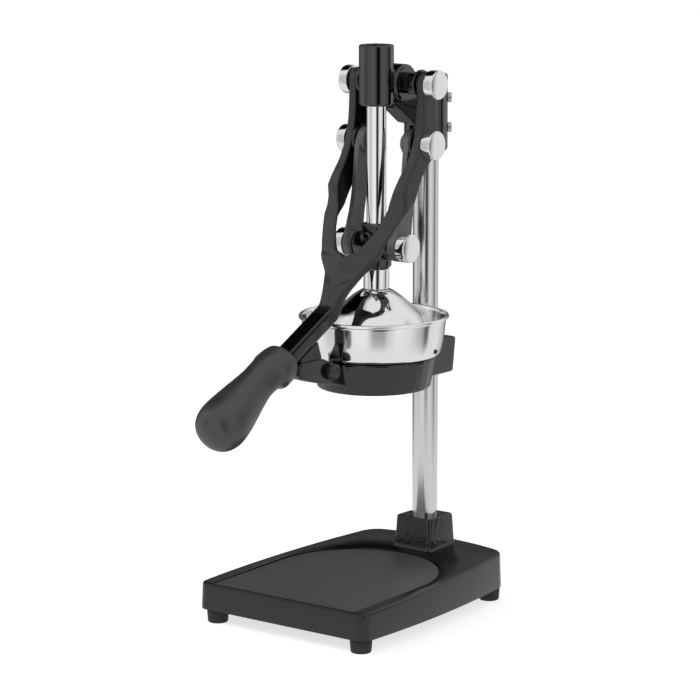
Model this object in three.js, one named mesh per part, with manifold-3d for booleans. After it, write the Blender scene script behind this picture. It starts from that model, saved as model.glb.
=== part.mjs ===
// Lever citrus juice press, in millimetres, +Z up, front towards -Y.
// While it is built, the press rod stands on the Z axis and the table is z = 0.
// At the end the group is moved so that the origin is the middle of the underside.

import * as THREE from 'three';
import { mergeVertices } from 'three/addons/utils/BufferGeometryUtils.js';
import Module from 'manifold-3d';

const wasm = await Module();
wasm.setup();

// Clearances and shared details
const seatGap = 0.3; // left between two faces that meet
const boreGap = 0.3; // left all round a pin in its bore
const overrun = 2; // how far a cutting tool runs past the face that it cuts
const weld = 1; // how far joined shapes of one casting run into each other
const sameSpot = 1e-4; // points closer than this are one
const wideSides = 36; // sides of the faceted rounds, by their size
const roundSides = 24;
const smallSides = 14;
const tinySides = 10;

// Linkage: fulcrum, throw of the lever, links down to the crosshead
const crossPinHeight = 316.41; // lower link pins over the table, with the lever down
const pivotSetback = 22.7; // fulcrum behind the rod axis
const leverThrow = 50.6; // fulcrum to link pin
const throwLean = 3.74 * THREE.MathUtils.DEG2RAD; // link pin in front of the fulcrum at rest
const linkLength = 88.26;
const linkPinSetback = pivotSetback - leverThrow * Math.sin(throwLean);
const linkPinHeight = crossPinHeight + Math.sqrt(linkLength ** 2 - linkPinSetback ** 2);
const pivotHeight = linkPinHeight + leverThrow * Math.cos(throwLean);

// Column
const columnSetback = 69.9; // behind the rod axis
const columnRadius = 11;
const columnChamfer = 1;

// Base casting: sides, rear edge and corners are arcs
const baseHalfWidth = 90.5;
const baseWidestY = -86;
const baseFront = 133;
const baseRear = 100;
const sideBowRadius = 920;
const rearBowRadius = 250;
const frontCornerRadius = 9;
const rearCornerRadius = 21;
const baseFrontThickness = 23.4;
const baseRise = 7.5; // the top climbs this much from front to rear
const baseDraft = 0.9;
const baseEdgeRadius = 2.2;
const baseWall = 6;
const basePlate = 7; // thickness of the top left over the hollow
const restSideMargin = 14.5; // beside the glass rest, on either side
const restRadius = baseHalfWidth - restSideMargin; // its round back
const restCentreY = -36;
const restFrontLip = 3;
const restDepthFront = 0.4; // the floor is more level than the top around it
const restDepthRear = 1.2;
const restCornerRadius = 4;

// Pedestal that holds the column
const pedestalTopZ = 69.3;
const pedestalFootHalf = 19.4;
const pedestalTopHalf = 17.8;
const pedestalFlare = 3;
const pedestalFlareHeight = 6;
const pedestalEdge = 3;
const pedestalTopEdge = 1.2;

// Feet and their screws
const footHeight = 11.8;
const footTopRadius = 9.4;
const footBottomRadius = 8.7;
const footEdge = 1;
const footFrontSideInset = 13.5; // from the base's side and front
const footFrontInset = 12;
const footRearSideInset = 27; // from its widest side and its rear
const footRearInset = 21;
const footFrontX = baseHalfWidth - footFrontSideInset;
const footFrontY = footFrontInset - baseFront;
const footRearX = baseHalfWidth - footRearSideInset;
const footRearY = baseRear - footRearInset;
const footBossRadius = 9.5;
const footScrewRadius = 2;
const footScrewHeadRadius = 4.2;
const footScrewHeadHeight = 2.8;
const footScrewRecess = 4.2; // how deep the head sits in the rubber
const footScrewReach = 10; // thread inside the base

// Bolt that pulls the column down
const boltBossRadius = 17;
const boltRecess = 10; // boss face above the underside of the base
const boltSeatWeb = 5; // metal between boss face and column end
const boltRadius = 4;
const boltReach = 18;
const boltHeadRadius = 7.5;
const boltHeadHeight = 6;
const washerThickness = 1.6;
const boltWasherRadius = 12;

// Head casting: guide boss, cross boss of the fulcrum, web, column socket
const guideRadius = 14.8;
const guideRise = 33; // above the fulcrum
const guideDrop = 18; // below it
const guideTopZ = pivotHeight + guideRise;
const guideBottomZ = pivotHeight - guideDrop;
const guideEdge = 1.4; // at its foot
const guideTopEdge = 0.5;
const bushWall = 2;
const bushFootDepth = 1; // bush inside the boss, at its foot
const bushTopDepth = 10; // and at its top
const crossBossRadius = 16;
const crossBossHalf = 14.8;
const crossBossEdge = 1.5;
const webHalf = 9;
// Back from the rod axis, and up the socket
const webUndersideShares = [[1, 0.34], [0.865, 0.356], [0.678, 0.394], [0.461, 0.532], [0.347, 0.6]];
const socketRadius = 18.8;
const socketRise = 4; // above the fulcrum
const socketDrop = 62; // below it
const socketTopZ = pivotHeight + socketRise;
const socketBottomZ = pivotHeight - socketDrop;
const socketEdge = 1.6;
const socketRoof = 5; // closed top of the socket
const clampScrewAngle = 40 * THREE.MathUtils.DEG2RAD;
const clampScrewRadius = 2.5;
const clampScrewHeadRadius = 4.2;
const clampScrewHeadHeight = 3.2;
const clampScrewLevelShares = [0.315, 0.705]; // down the socket

// Press rod, crosshead, sleeve and bell
const rodRadius = 8.4;
const rodTopDrop = 14; // rod end below the top of the guide boss
const rodChamfer = 0.8;
const crossheadTop = 19.1; // above the link pin
const crossheadBottom = 19.4; // below it
const crossheadRadius = 13;
const crossheadHalf = 18.9;
const crossheadBossRadius = 11.6;
const crossheadEdge = 2;
const crossheadScrewRadius = 2.5;
const crossheadScrewHeadRadius = 4;
const crossheadScrewHeadHeight = 2.4;
const crossheadScrewLevelShare = 0.72;
const sleeveRadius = 11;
const sleeveLength = 17.4;
const sleeveEdge = 0.8;
const bellRadius = 48;
const bellHeight = 48;
const bellOutsideShares = [[0.26, 0.01], [0.417, 0.1], [0.567, 0.225], [0.7875, 0.43], [0.89, 0.606],
  [0.96, 0.8], [1, 0.98], [0.99, 1]];
const bellInsideShares = [[0.91, 1], [0.87, 0.76], [0.74, 0.53], [0.46, 0.35], [0.3, 0.3]];
const bellNutRadius = 13.2;
const bellNutHeight = 6;
const bellWasherRadius = 11;
const rodTail = 2; // rod end below the nut

// Steel cup with strainer
const bowlForward = 3.6; // ring and cup stand this far in front of the rod axis
const cupRimZ = 258.3;
const cupRimRadius = 64.2; // outside of the rolled rim
const cupBeadRadius = 1.8;
const cupBeadShares = [-0.6, -0.1, 0.3, 0.7]; // of half a turn, round the bead
const cupWallTopRadius = 61.7;
const cupWallShares = [[0.885, 0.02], [0.928, 0.1], [0.969, 0.44]]; // radius and height, of the wall
const cupSeatRadius = 52.5;
const cupSheet = 1;
const cupDrainRadius = 9;
const cupFloorDrop = 4.6; // fall of the floor towards the drain
const strainerFlangeRadius = 50;
const strainerRadius = 38;
const strainerHeight = 25;
const strainerSheet = 1.2;
const strainerDomeShares = [[1, 0.06], [0.96, 0.26], [0.82, 0.56], [0.5, 0.87]];
const slotCount = 8;
const slotWidth = 3.4;
const slotInner = 14;
const slotOuter = 33;
const rivetRadius = 2.4;
const rivetHeight = 1.2;
const rivetLevelShare = 0.32; // up the lower stretch of the cup wall
const rivetAngle = 11 * THREE.MathUtils.DEG2RAD;

// Ring bracket with collar and lever rest
const ringTopZ = 222.5;
const ringHeight = 27.2;
const ringTopRadius = 53.4;
const ringBottomRadius = 48.6;
const ringWall = 8.2;
const ringLip = 4; // inward lip at the bottom
const ringLipHeight = 5;
const ringEdge = 1.2;
const ringInnerTaperShare = 0.7; // of the outside's taper
const cupNestGap = 0.7; // around the cup's lower bowl
const collarTopHalf = 19.9;
const collarFootHalf = 18.3;
const collarTopZ = 227.5;
const collarBottomZ = 196.2;
const collarCorner = 3;
const bridgeWidthShare = 0.8; // of the collar's width
const restArmHalf = 8.5;
const restArmGripGap = 11.66; // arm tip behind the grip's collar
const restArmTopZ = 231.4;
const restArmRiseShare = 0.72; // where the arm reaches its full height, as a share of its reach
const restArmBellyShare = 0.77;
const restArmBellyZ = 211.2;
const restArmTipBottomZ = 218;
const restArmRootBottomZ = 203;
const restArmTipEdge = 3;
const restPadBackShare = 0.73;
const restPadFrontShare = 0.965;
const restPadLean = 5.2; // how far the pad's back leans forward
const restPadHalf = 8.2;
const restScrewReachShare = 0.6336; // of the arm's reach
const restScrewZ = 219.3;
const restScrewRadius = 3;
const restScrewHeadRadius = 7;
const restScrewHeadLength = 8.2;
const restScrewDomeShares = [[1, 0.35], [0.93, 0.62], [0.72, 0.86], [0.38, 0.98]]; // radius, length
const restNutRadius = 6;
const restNutHeight = 5;

// Pins and their chrome caps
const capRadius = 12.2;
const capLength = 8.7;
const capEdge = 1.2;
const capDepth = 5.5; // how far a pin runs into its cap
const upperShaftRadius = 6;
const pinRadius = 5;
const pinHeadRadius = 8;
const pinHeadLength = 3;
const spacerRadius = 9;
const upperWasherRadius = 12;
const upperWasherThickness = 2.2;
const midWasherRadius = 13.6;

// Fork lever: arm stations as shares of its drop and reach below the fulcrum
const armInnerX = 31.2;
const armThickness = 9.2;
const armEndRadius = 11;
const armPinBossRadius = 12.6;
const armEdge = 1.7;
const bendHeight = 271; // bend of the shank over the table
const forkDrop = pivotHeight - bendHeight; // fulcrum down to that bend
const forkReach = 96.5; // fulcrum forward to that bend
const shankHalf = 8.5;
const shankSlope = 28 * THREE.MathUtils.DEG2RAD;
const shankThickness = 14;
const shankEdge = 1.8;
const shankRootShares = [0.72, 0.35]; // of its thickness, behind the bend
// Each row: front edge forward and down, rear edge forward and down, inner and outer face as
// shares of the arm's inner and outer face distance. Where the arm is swept back, bevel moves
// its inner rear corner forward and slant its outer front corner back, by shares of its depth
const armStationShares = [
  { front: [0.105, 0], rear: [-0.105, 0], inner: 1, outer: 1 },
  { front: [0.107, 0.088], rear: [-0.105, 0.088], inner: 1, outer: 1 },
  { front: [0.116, 0.16], rear: [-0.115, 0.17], inner: 1, outer: 1 },
  { front: [0.142, 0.242], rear: [-0.115, 0.26], inner: 1, outer: 1 },
  { front: [0.194, 0.308], rear: [-0.06, 0.335], inner: 1, outer: 1 },
  { front: [0.252, 0.363], rear: [0.022, 0.38], inner: 1, outer: 1 },
  { front: [0.34, 0.418], rear: [0.112, 0.43], inner: 0.97, outer: 1 },
  { front: [0.402, 0.473], rear: [0.17, 0.48], inner: 0.93, outer: 1.02 },
  { front: [0.428, 0.527], rear: [0.225, 0.532], inner: 0.86, outer: 1.03, bevel: 0.22, slant: 0.2 },
  { front: [0.44, 0.565], rear: [0.315, 0.572], inner: 0.82, outer: 1.03, bevel: 0.15, slant: 0.3 },
  { front: [0.49, 0.613], rear: [0.415, 0.607], inner: 0.75, outer: 1.01, bevel: 0.45, slant: 0.4 },
  { front: [0.558, 0.665], rear: [0.48, 0.66], inner: 0.64, outer: 0.93, bevel: 0.5, slant: 0.45 },
  { front: [0.64, 0.72], rear: [0.54, 0.72], inner: 0.47, outer: 0.83, bevel: 0.5, slant: 0.5 },
  { front: [0.69, 0.75], rear: [0.562, 0.77], inner: 0.34, outer: 0.765, bevel: 0.5, slant: 0.5 },
  { front: [0.715, 0.775], rear: [0.58, 0.795], inner: -0.02, outer: 0.7, slant: 0.3 },
  { front: [0.742, 0.803], rear: [0.6, 0.822], inner: -0.03, outer: 0.62, slant: 0.3 },
  { front: [0.768, 0.848], rear: [0.658, 0.863], inner: -0.02, outer: 0.465, slant: 0.25 },
  { front: [0.82, 0.892], rear: [0.695, 0.901], inner: -0.03, outer: 0.35 },
  { front: [0.88, 0.93], rear: [0.74, 0.934], inner: -0.03, outer: 0.272 },
  { front: [0.942, 0.974], rear: [0.788, 0.973], inner: -0.03, outer: 0.214 },
  { front: [0.985, 1.01], rear: [0.84, 1.03], inner: -0.03, outer: 0.21 },
];

// Grip: along its length, half heights above and below the axis, as shares of the bulb radius
const gripStart = 61; // past the bend, along the shank
const gripSocketDepth = 31; // how far the shank runs into the grip
const shankLength = gripStart + gripSocketDepth; // past the bend
const gripLength = 110;
const gripBulbRadius = 21.8;
const gripWallGap = 0.3;
const gripStationShares = [[0.004, 0.5, 0.42], [0.018, 0.68, 0.64], [0.05, 0.78, 0.745],
  [0.1, 0.83, 0.771], [0.165, 0.865, 0.765], [0.2, 0.88, 0.62], [0.25, 0.885, 0.51], [0.365, 0.882, 0.486],
  [0.475, 0.917, 0.605], [0.568, 0.95, 0.743], [0.68, 0.982, 0.9], [0.79, 1, 0.99], [0.856, 0.968, 0.968],
  [0.907, 0.885, 0.885], [0.948, 0.74, 0.74], [0.979, 0.51, 0.51], [0.996, 0.22, 0.22]];

// Links
const linkInnerX = 19.3;
const linkOuterX = 28.4;
const linkEndRadius = 12.2;
const linkWeb = 5.3;
const linkEdge = 1.1;
// Half width from the lower pin to the upper one, as shares of the length and of the end radius
const linkWidthShares = [[0, 0.92], [0.16, 0.78], [0.3, 0.66], [0.45, 0.64], [0.6, 0.72], [0.75, 0.86],
  [0.9, 0.98], [1, 1]];

// Levels and places that follow from the sizes above
const restArmReach = forkReach - pivotSetback + gripStart * Math.cos(shankSlope) - restArmGripGap;
const pivot = new THREE.Vector2(pivotSetback, pivotHeight);
const linkPin = new THREE.Vector2(linkPinSetback, linkPinHeight);
const crossPin = new THREE.Vector2(0, crossPinHeight);
const armOuterX = armInnerX + armThickness;
const baseTopAt = (y) =>
  footHeight + baseFrontThickness + baseRise * (y + baseFront) / (baseFront + baseRear);
const crossheadTopZ = crossPin.y + crossheadTop;
const crossheadBottomZ = crossPin.y - crossheadBottom;
const sleeveTopZ = crossheadBottomZ - seatGap;
const bellTopZ = sleeveTopZ - sleeveLength - seatGap;
const bellBottomZ = bellTopZ - bellHeight;
const cupShoulderZ = ringTopZ + seatGap;
const ringBottomZ = ringTopZ - ringHeight;
const sides = [['left', -1], ['right', 1]];

// Materials
const finish = (color, roughness, metalness) => () =>
  new THREE.MeshStandardMaterial({ color, roughness, metalness });
const enamel = finish(0x17181a, 0.22, 0.1);
const chrome = finish(0xdfe2e5, 0.12, 1);
const steel = finish(0xc9cccf, 0.28, 1);
const rubber = finish(0x2c2d30, 0.75, 0);
const footRubber = finish(0x1d1d1f, 0.8, 0);
const zinc = finish(0xa8abad, 0.4, 0.9);
const bronze = finish(0xa57b42, 0.4, 0.9);

// Solids
function solid(geometry) {
  const plain = geometry.index ? geometry.toNonIndexed() : geometry.clone();
  plain.deleteAttribute('normal');
  plain.deleteAttribute('uv');
  const merged = mergeVertices(plain, sameSpot);
  return new wasm.Manifold(new wasm.Mesh({
    numProp: 3,
    vertProperties: new Float32Array(merged.attributes.position.array),
    triVerts: new Uint32Array(merged.index.array),
  }));
}

function geometryOf(manifold) {
  const mesh = manifold.getMesh();
  const geometry = new THREE.BufferGeometry();
  geometry.setAttribute('position', new THREE.BufferAttribute(new Float32Array(mesh.vertProperties), 3));
  geometry.setIndex(new THREE.BufferAttribute(new Uint32Array(mesh.triVerts), 1));
  geometry.computeVertexNormals();
  return geometry;
}

const join = (...parts) => parts.reduce((a, b) => a.add(b));
const cut = (body, ...tools) => tools.reduce((a, b) => a.subtract(b), body);

// A turned solid about the Z axis from (radius, z) points that close on themselves or on the axis
function turned(points, segments = roundSides) {
  const closed = points[0][0] > 0 || points[points.length - 1][0] > 0;
  const outline = points.map(([r, z]) => new THREE.Vector2(r, z));
  if (closed) outline.push(outline[0].clone());
  const area = outline.reduce((sum, p, i) => {
    const q = outline[(i + 1) % outline.length];
    return sum + p.x * q.y - q.x * p.y;
  }, 0);
  if (area < 0) outline.reverse();
  return solid(new THREE.LatheGeometry(outline, segments).rotateX(Math.PI / 2));
}

// A round bar along Z with its two edges broken
function bar(radius, bottom, top, edge = 0, segments = roundSides) {
  const points = [[0, bottom], [radius - edge, bottom], [radius, bottom + edge],
    [radius, top - edge], [radius - edge, top], [0, top]];
  return turned(edge > 0 ? points : [[0, bottom], [radius, bottom], [radius, top], [0, top]], segments);
}

// The same along X, from one x to another, through a point given as (y, z)
function barX(radius, from, to, [y, z], edge = 0, segments = roundSides) {
  return bar(radius, from, to, edge, segments).rotate([0, 90, 0]).translate([0, y, z]);
}

// A flat outline in (y, z) points, as thick as from one x to another
function plateX(points, from, to) {
  const shape = new THREE.Shape(points.map(([y, z]) => new THREE.Vector2(y, z)));
  const geometry = new THREE.ExtrudeGeometry(shape, { depth: to - from, bevelEnabled: false });
  const toYZ = new THREE.Matrix4().makeBasis(
    new THREE.Vector3(0, 1, 0), new THREE.Vector3(0, 0, 1), new THREE.Vector3(1, 0, 0));
  return solid(geometry.applyMatrix4(toYZ).translate(from, 0, 0));
}

// A skin over a row of rings with equal point counts, closed by a fan at both ends
function loft(rings) {
  const count = rings[0].length;
  const centres = [rings[0], rings[rings.length - 1]].map((ring) =>
    ring.reduce((sum, p) => sum.add(p), new THREE.Vector3()).divideScalar(count));
  const points = rings.flat().concat(centres);
  const index = [];
  const last = (rings.length - 1) * count;
  for (let j = 0; j < count; j += 1) {
    const next = (j + 1) % count;
    for (let i = 0; i < last; i += count) {
      index.push(i + j, i + next, i + count + next, i + j, i + count + next, i + count + j);
    }
    index.push(rings.length * count, next, j);
    index.push(rings.length * count + 1, last + j, last + next);
  }
  const geometry = new THREE.BufferGeometry().setFromPoints(points);
  geometry.setIndex(index);
  const made = solid(geometry);
  return made.volume() > 0 ? made : solid(geometry.setIndex(index.reverse()));
}

// A rectangle with rounded corners, in its own plane, as (u, v) points
function roundedRing(halfU, halfV, edge, steps = 3) {
  const points = [];
  for (const [sign, start] of [[[1, 1], 0], [[-1, 1], 1], [[-1, -1], 2], [[1, -1], 3]]) {
    for (let k = 0; k < steps; k += 1) {
      const angle = (start + k / (steps - 1)) * Math.PI / 2;
      points.push([
        sign[0] * (halfU - edge) + edge * Math.cos(angle),
        sign[1] * (halfV - edge) + edge * Math.sin(angle)]);
    }
  }
  return points;
}

const model = new THREE.Group();
function add(name, shape, material) {
  const mesh = new THREE.Mesh(shape.isBufferGeometry ? shape : geometryOf(shape), material());
  mesh.name = name;
  model.add(mesh);
}

// Base outline: front line, bowed sides and rear, rounded corners, all moved in by an inset
function baseOutline(inset, arcSteps = 3) {
  const side = new THREE.Vector2(baseHalfWidth - sideBowRadius, baseWidestY);
  const rear = new THREE.Vector2(0, baseRear - rearBowRadius);
  const frontY = -baseFront + frontCornerRadius;
  const frontX = side.x + Math.sqrt((sideBowRadius - frontCornerRadius) ** 2 - (frontY - side.y) ** 2);
  const a = sideBowRadius - rearCornerRadius;
  const b = rearBowRadius - rearCornerRadius;
  const span = rear.clone().sub(side);
  const along = (a * a - b * b + span.lengthSq()) / (2 * span.length());
  const off = Math.sqrt(a * a - along * along);
  const unit = span.clone().normalize();
  const corner = side.clone().addScaledVector(unit, along)
    .add(new THREE.Vector2(-unit.y, unit.x).multiplyScalar(off));
  const sideStart = Math.atan2(frontY - side.y, frontX - side.x);
  const sideEnd = Math.atan2(corner.y - side.y, corner.x - side.x);
  const rearStart = Math.atan2(corner.y - rear.y, corner.x - rear.x);
  const half = [];
  const arc = (centre, radius, from, to, steps) => {
    for (let k = 0; k <= steps; k += 1) {
      const angle = from + (to - from) * k / steps;
      half.push([centre.x + radius * Math.cos(angle), centre.y + radius * Math.sin(angle)]);
    }
  };
  arc(new THREE.Vector2(frontX, frontY), frontCornerRadius - inset, -Math.PI / 2, sideStart, arcSteps);
  const sideSteps = 3 * arcSteps;
  const sideFrom = sideStart + (sideEnd - sideStart) / sideSteps;
  arc(side, sideBowRadius - inset, sideFrom, sideEnd, sideSteps - 1);
  arc(corner, rearCornerRadius - inset, sideEnd + (rearStart - sideEnd) / arcSteps, rearStart, arcSteps);
  arc(rear, rearBowRadius - inset, rearStart + (Math.PI / 2 - rearStart) / arcSteps, Math.PI / 2, arcSteps);
  const mirrored = half.slice(0, -1).reverse().map(([x, y]) => [-x, y]);
  return half.concat(mirrored);
}

function makeBase() {
  const ring = (inset, zAt) => baseOutline(inset).map(([x, y]) => new THREE.Vector3(x, y, zAt(y)));
  const flat = (z) => () => z;
  const underTop = (drop) => (y) => baseTopAt(y) - drop;
  const body = loft([
    ring(baseEdgeRadius / 2, flat(footHeight)),
    ring(0, flat(footHeight + baseEdgeRadius / 2)),
    ring(baseDraft, underTop(baseEdgeRadius)),
    ring(baseDraft + baseEdgeRadius * (1 - Math.SQRT1_2), underTop(baseEdgeRadius * (1 - Math.SQRT1_2))),
    ring(baseDraft + baseEdgeRadius, underTop(0)),
  ]);
  const hollow = loft([
    ring(baseWall, flat(footHeight - overrun)),
    ring(baseWall + baseDraft, underTop(basePlate)),
  ]);
  const square = (halfSide, z) => roundedRing(halfSide, halfSide, pedestalEdge)
    .map(([u, v]) => new THREE.Vector3(u, columnSetback + v, z));
  const pedestalFootZ = baseTopAt(columnSetback - pedestalFootHalf);
  const pedestal = loft([
    square(pedestalFootHalf + pedestalFlare, pedestalFootZ - weld),
    square(pedestalFootHalf + pedestalFlare / 3, pedestalFootZ + pedestalFlareHeight / 3),
    square(pedestalFootHalf, pedestalFootZ + pedestalFlareHeight),
    square(pedestalTopHalf + pedestalTopEdge / 4, pedestalTopZ - pedestalTopEdge),
    square(pedestalTopHalf - pedestalTopEdge / 2, pedestalTopZ),
  ]);
  const boltBoss = bar(boltBossRadius, footHeight + boltRecess, pedestalFootZ);
  const bosses = [boltBoss.translate([0, columnSetback, 0])];
  const holes = [];
  for (const [x, y] of footPlaces()) {
    bosses.push(bar(footBossRadius, footHeight, baseTopAt(y) - basePlate + weld).translate([x, y, 0]));
    const top = footHeight + footScrewReach + overrun;
    holes.push(bar(footScrewRadius + boreGap, footHeight - overrun, top, 0, tinySides).translate([x, y, 0]));
  }
  const seatZ = footHeight + boltRecess + boltSeatWeb;
  const bores = join(
    bar(columnRadius + boreGap, seatZ, pedestalTopZ + overrun),
    bar(boltRadius + boreGap, footHeight, seatZ + overrun, 0, smallSides)).translate([0, columnSetback, 0]);
  return cut(join(cut(body, hollow), pedestal, ...bosses), bores, glassRest(), ...holes);
}

// The shallow D that a glass stands in, deepest at its round back
function glassRest() {
  const outline = [];
  const frontY = -baseFront + restFrontLip;
  for (const [x, sign] of [[-restRadius, -1], [restRadius, 1]]) {
    for (let k = 0; k <= 3; k += 1) {
      const angle = k / 3 * Math.PI / 2;
      const turn = sign < 0 ? angle : Math.PI / 2 - angle;
      outline.push([
        x - sign * restCornerRadius * (1 - Math.cos(turn)),
        frontY + restCornerRadius * (1 - Math.sin(turn))]);
    }
  }
  for (let k = 0; k <= roundSides; k += 1) {
    const angle = k / roundSides * Math.PI;
    outline.push([restRadius * Math.cos(angle), restCentreY + restRadius * Math.sin(angle)]);
  }
  const rearY = restCentreY + restRadius;
  const depthAt = (y) => restDepthFront + (restDepthRear - restDepthFront) * (y - frontY) / (rearY - frontY);
  const ring = (liftAt) => outline.map(([x, y]) => new THREE.Vector3(x, y, baseTopAt(y) + liftAt(y)));
  return loft([ring((y) => -depthAt(y)), ring(() => overrun)]);
}

function footPlaces() {
  const places = [];
  for (const [, sign] of sides) places.push([sign * footFrontX, footFrontY], [sign * footRearX, footRearY]);
  return places;
}

function makeFeet() {
  const corners = ['front_left', 'rear_left', 'front_right', 'rear_right'];
  const top = footHeight - seatGap;
  const foot = turned([
    [footScrewRadius + boreGap, top], [footScrewRadius + boreGap, footScrewRecess + boreGap],
    [footScrewHeadRadius + boreGap, footScrewRecess], [footScrewHeadRadius + boreGap, 0],
    [footBottomRadius - footEdge, 0], [footBottomRadius, footEdge], [footTopRadius, top - footEdge],
    [footTopRadius - footEdge / 2, top]], smallSides);
  const headTop = footScrewRecess - seatGap / 2;
  const screw = join(
    bar(footScrewHeadRadius, headTop - footScrewHeadHeight, headTop, footEdge / 2, tinySides),
    bar(footScrewRadius, headTop - weld, footHeight + footScrewReach, footEdge / 2, tinySides));
  footPlaces().forEach(([x, y], i) => {
    add(`foot_${corners[i]}`, foot.translate([x, y, 0]), footRubber);
    add(`foot_screw_${corners[i]}`, screw.translate([x, y, 0]), zinc);
  });
}

function makeColumn() {
  const seatZ = footHeight + boltRecess + boltSeatWeb + seatGap;
  const top = socketTopZ - socketRoof - seatGap;
  const column = cut(
    bar(columnRadius, seatZ, top, columnChamfer),
    bar(boltRadius + boreGap, seatZ - overrun, seatZ + boltReach + overrun, 0, smallSides));
  add('column', column.translate([0, columnSetback, 0]), chrome);
  const faceZ = footHeight + boltRecess - seatGap;
  const washer = cut(bar(boltWasherRadius, faceZ - washerThickness, faceZ),
    bar(boltRadius + boreGap, faceZ - washerThickness - overrun, faceZ + overrun, 0, smallSides));
  const headTop = faceZ - washerThickness - seatGap;
  const bolt = join(bar(boltHeadRadius, headTop - boltHeadHeight, headTop, 0, 6),
    bar(boltRadius, headTop - weld, seatZ + boltReach, columnChamfer, tinySides));
  add('column_washer', washer.translate([0, columnSetback, 0]), zinc);
  add('column_bolt', bolt.translate([0, columnSetback, 0]), zinc);
}

function makeHead() {
  const boss = turned([[0, guideBottomZ], [guideRadius - guideEdge, guideBottomZ],
    [guideRadius, guideBottomZ + guideEdge], [guideRadius, guideTopZ - guideTopEdge],
    [guideRadius - guideTopEdge, guideTopZ], [0, guideTopZ]], wideSides);
  const cross = barX(crossBossRadius, -crossBossHalf, crossBossHalf, pivot.toArray(), crossBossEdge);
  const socket = bar(socketRadius, socketBottomZ, socketTopZ, socketEdge, wideSides)
    .translate([0, columnSetback, 0]);
  const span = columnSetback - socketRadius / 2;
  const webRise = socketTopZ - socketBottomZ;
  const web = plateX([
    [0, pivotHeight + crossBossRadius / 2], [pivotSetback, pivotHeight + crossBossRadius - crossBossEdge],
    [span, socketTopZ - socketEdge],
    ...webUndersideShares.map(([back, up]) => [span * back, socketBottomZ + webRise * up]),
    [guideRadius - guideEdge, guideBottomZ + guideEdge], [0, guideBottomZ + guideEdge]], -webHalf, webHalf);
  const rib = plateX([
    [pivotSetback, pivotHeight], [span, socketTopZ - crossBossRadius],
    [span, socketTopZ - 2 * crossBossRadius],
    [pivotSetback - crossBossRadius / 2, pivotHeight - crossBossRadius]],
  -crossBossHalf + crossBossEdge, crossBossHalf - crossBossEdge);
  const bushBore = bar(rodRadius + boreGap + bushWall + boreGap, guideBottomZ - overrun, guideTopZ + overrun);
  const pastBoss = crossBossHalf + overrun;
  const shaftBore = barX(upperShaftRadius + boreGap, -pastBoss, pastBoss, pivot.toArray(), 0, smallSides);
  const columnBore = bar(columnRadius + boreGap, socketBottomZ - overrun, socketTopZ - socketRoof)
    .translate([0, columnSetback, 0]);
  const screws = clampScrewLevelShares.map((share) => {
    const z = socketTopZ - (socketTopZ - socketBottomZ) * share;
    return { z, hole: radialBar(clampScrewRadius + boreGap, columnRadius, socketRadius + overrun, z) };
  });
  add('head_casting', cut(join(boss, cross, socket, web, rib), bushBore, shaftBore, columnBore,
    ...screws.map((s) => s.hole)), enamel);
  screws.forEach(({ z }, i) => {
    const seat = socketRadius + seatGap;
    add(`head_clamp_screw_${['upper', 'lower'][i]}`, join(
      radialBar(clampScrewRadius, columnRadius + 2 * boreGap, socketRadius + weld, z),
      radialBar(clampScrewHeadRadius, seat, seat + clampScrewHeadHeight, z)), zinc);
  });
  const bush = cut(
    bar(rodRadius + boreGap + bushWall, guideBottomZ + bushFootDepth, guideTopZ - bushTopDepth),
    bar(rodRadius + boreGap, guideBottomZ, guideTopZ));
  add('guide_bush', bush, bronze);
}

// A short bar that points away from the column at the clamp screws' angle
function radialBar(radius, from, to, z) {
  return bar(radius, from, to, 0, smallSides).rotate([0, 90, 0])
    .rotate([0, 0, clampScrewAngle * THREE.MathUtils.RAD2DEG]).translate([0, columnSetback, z]);
}

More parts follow.
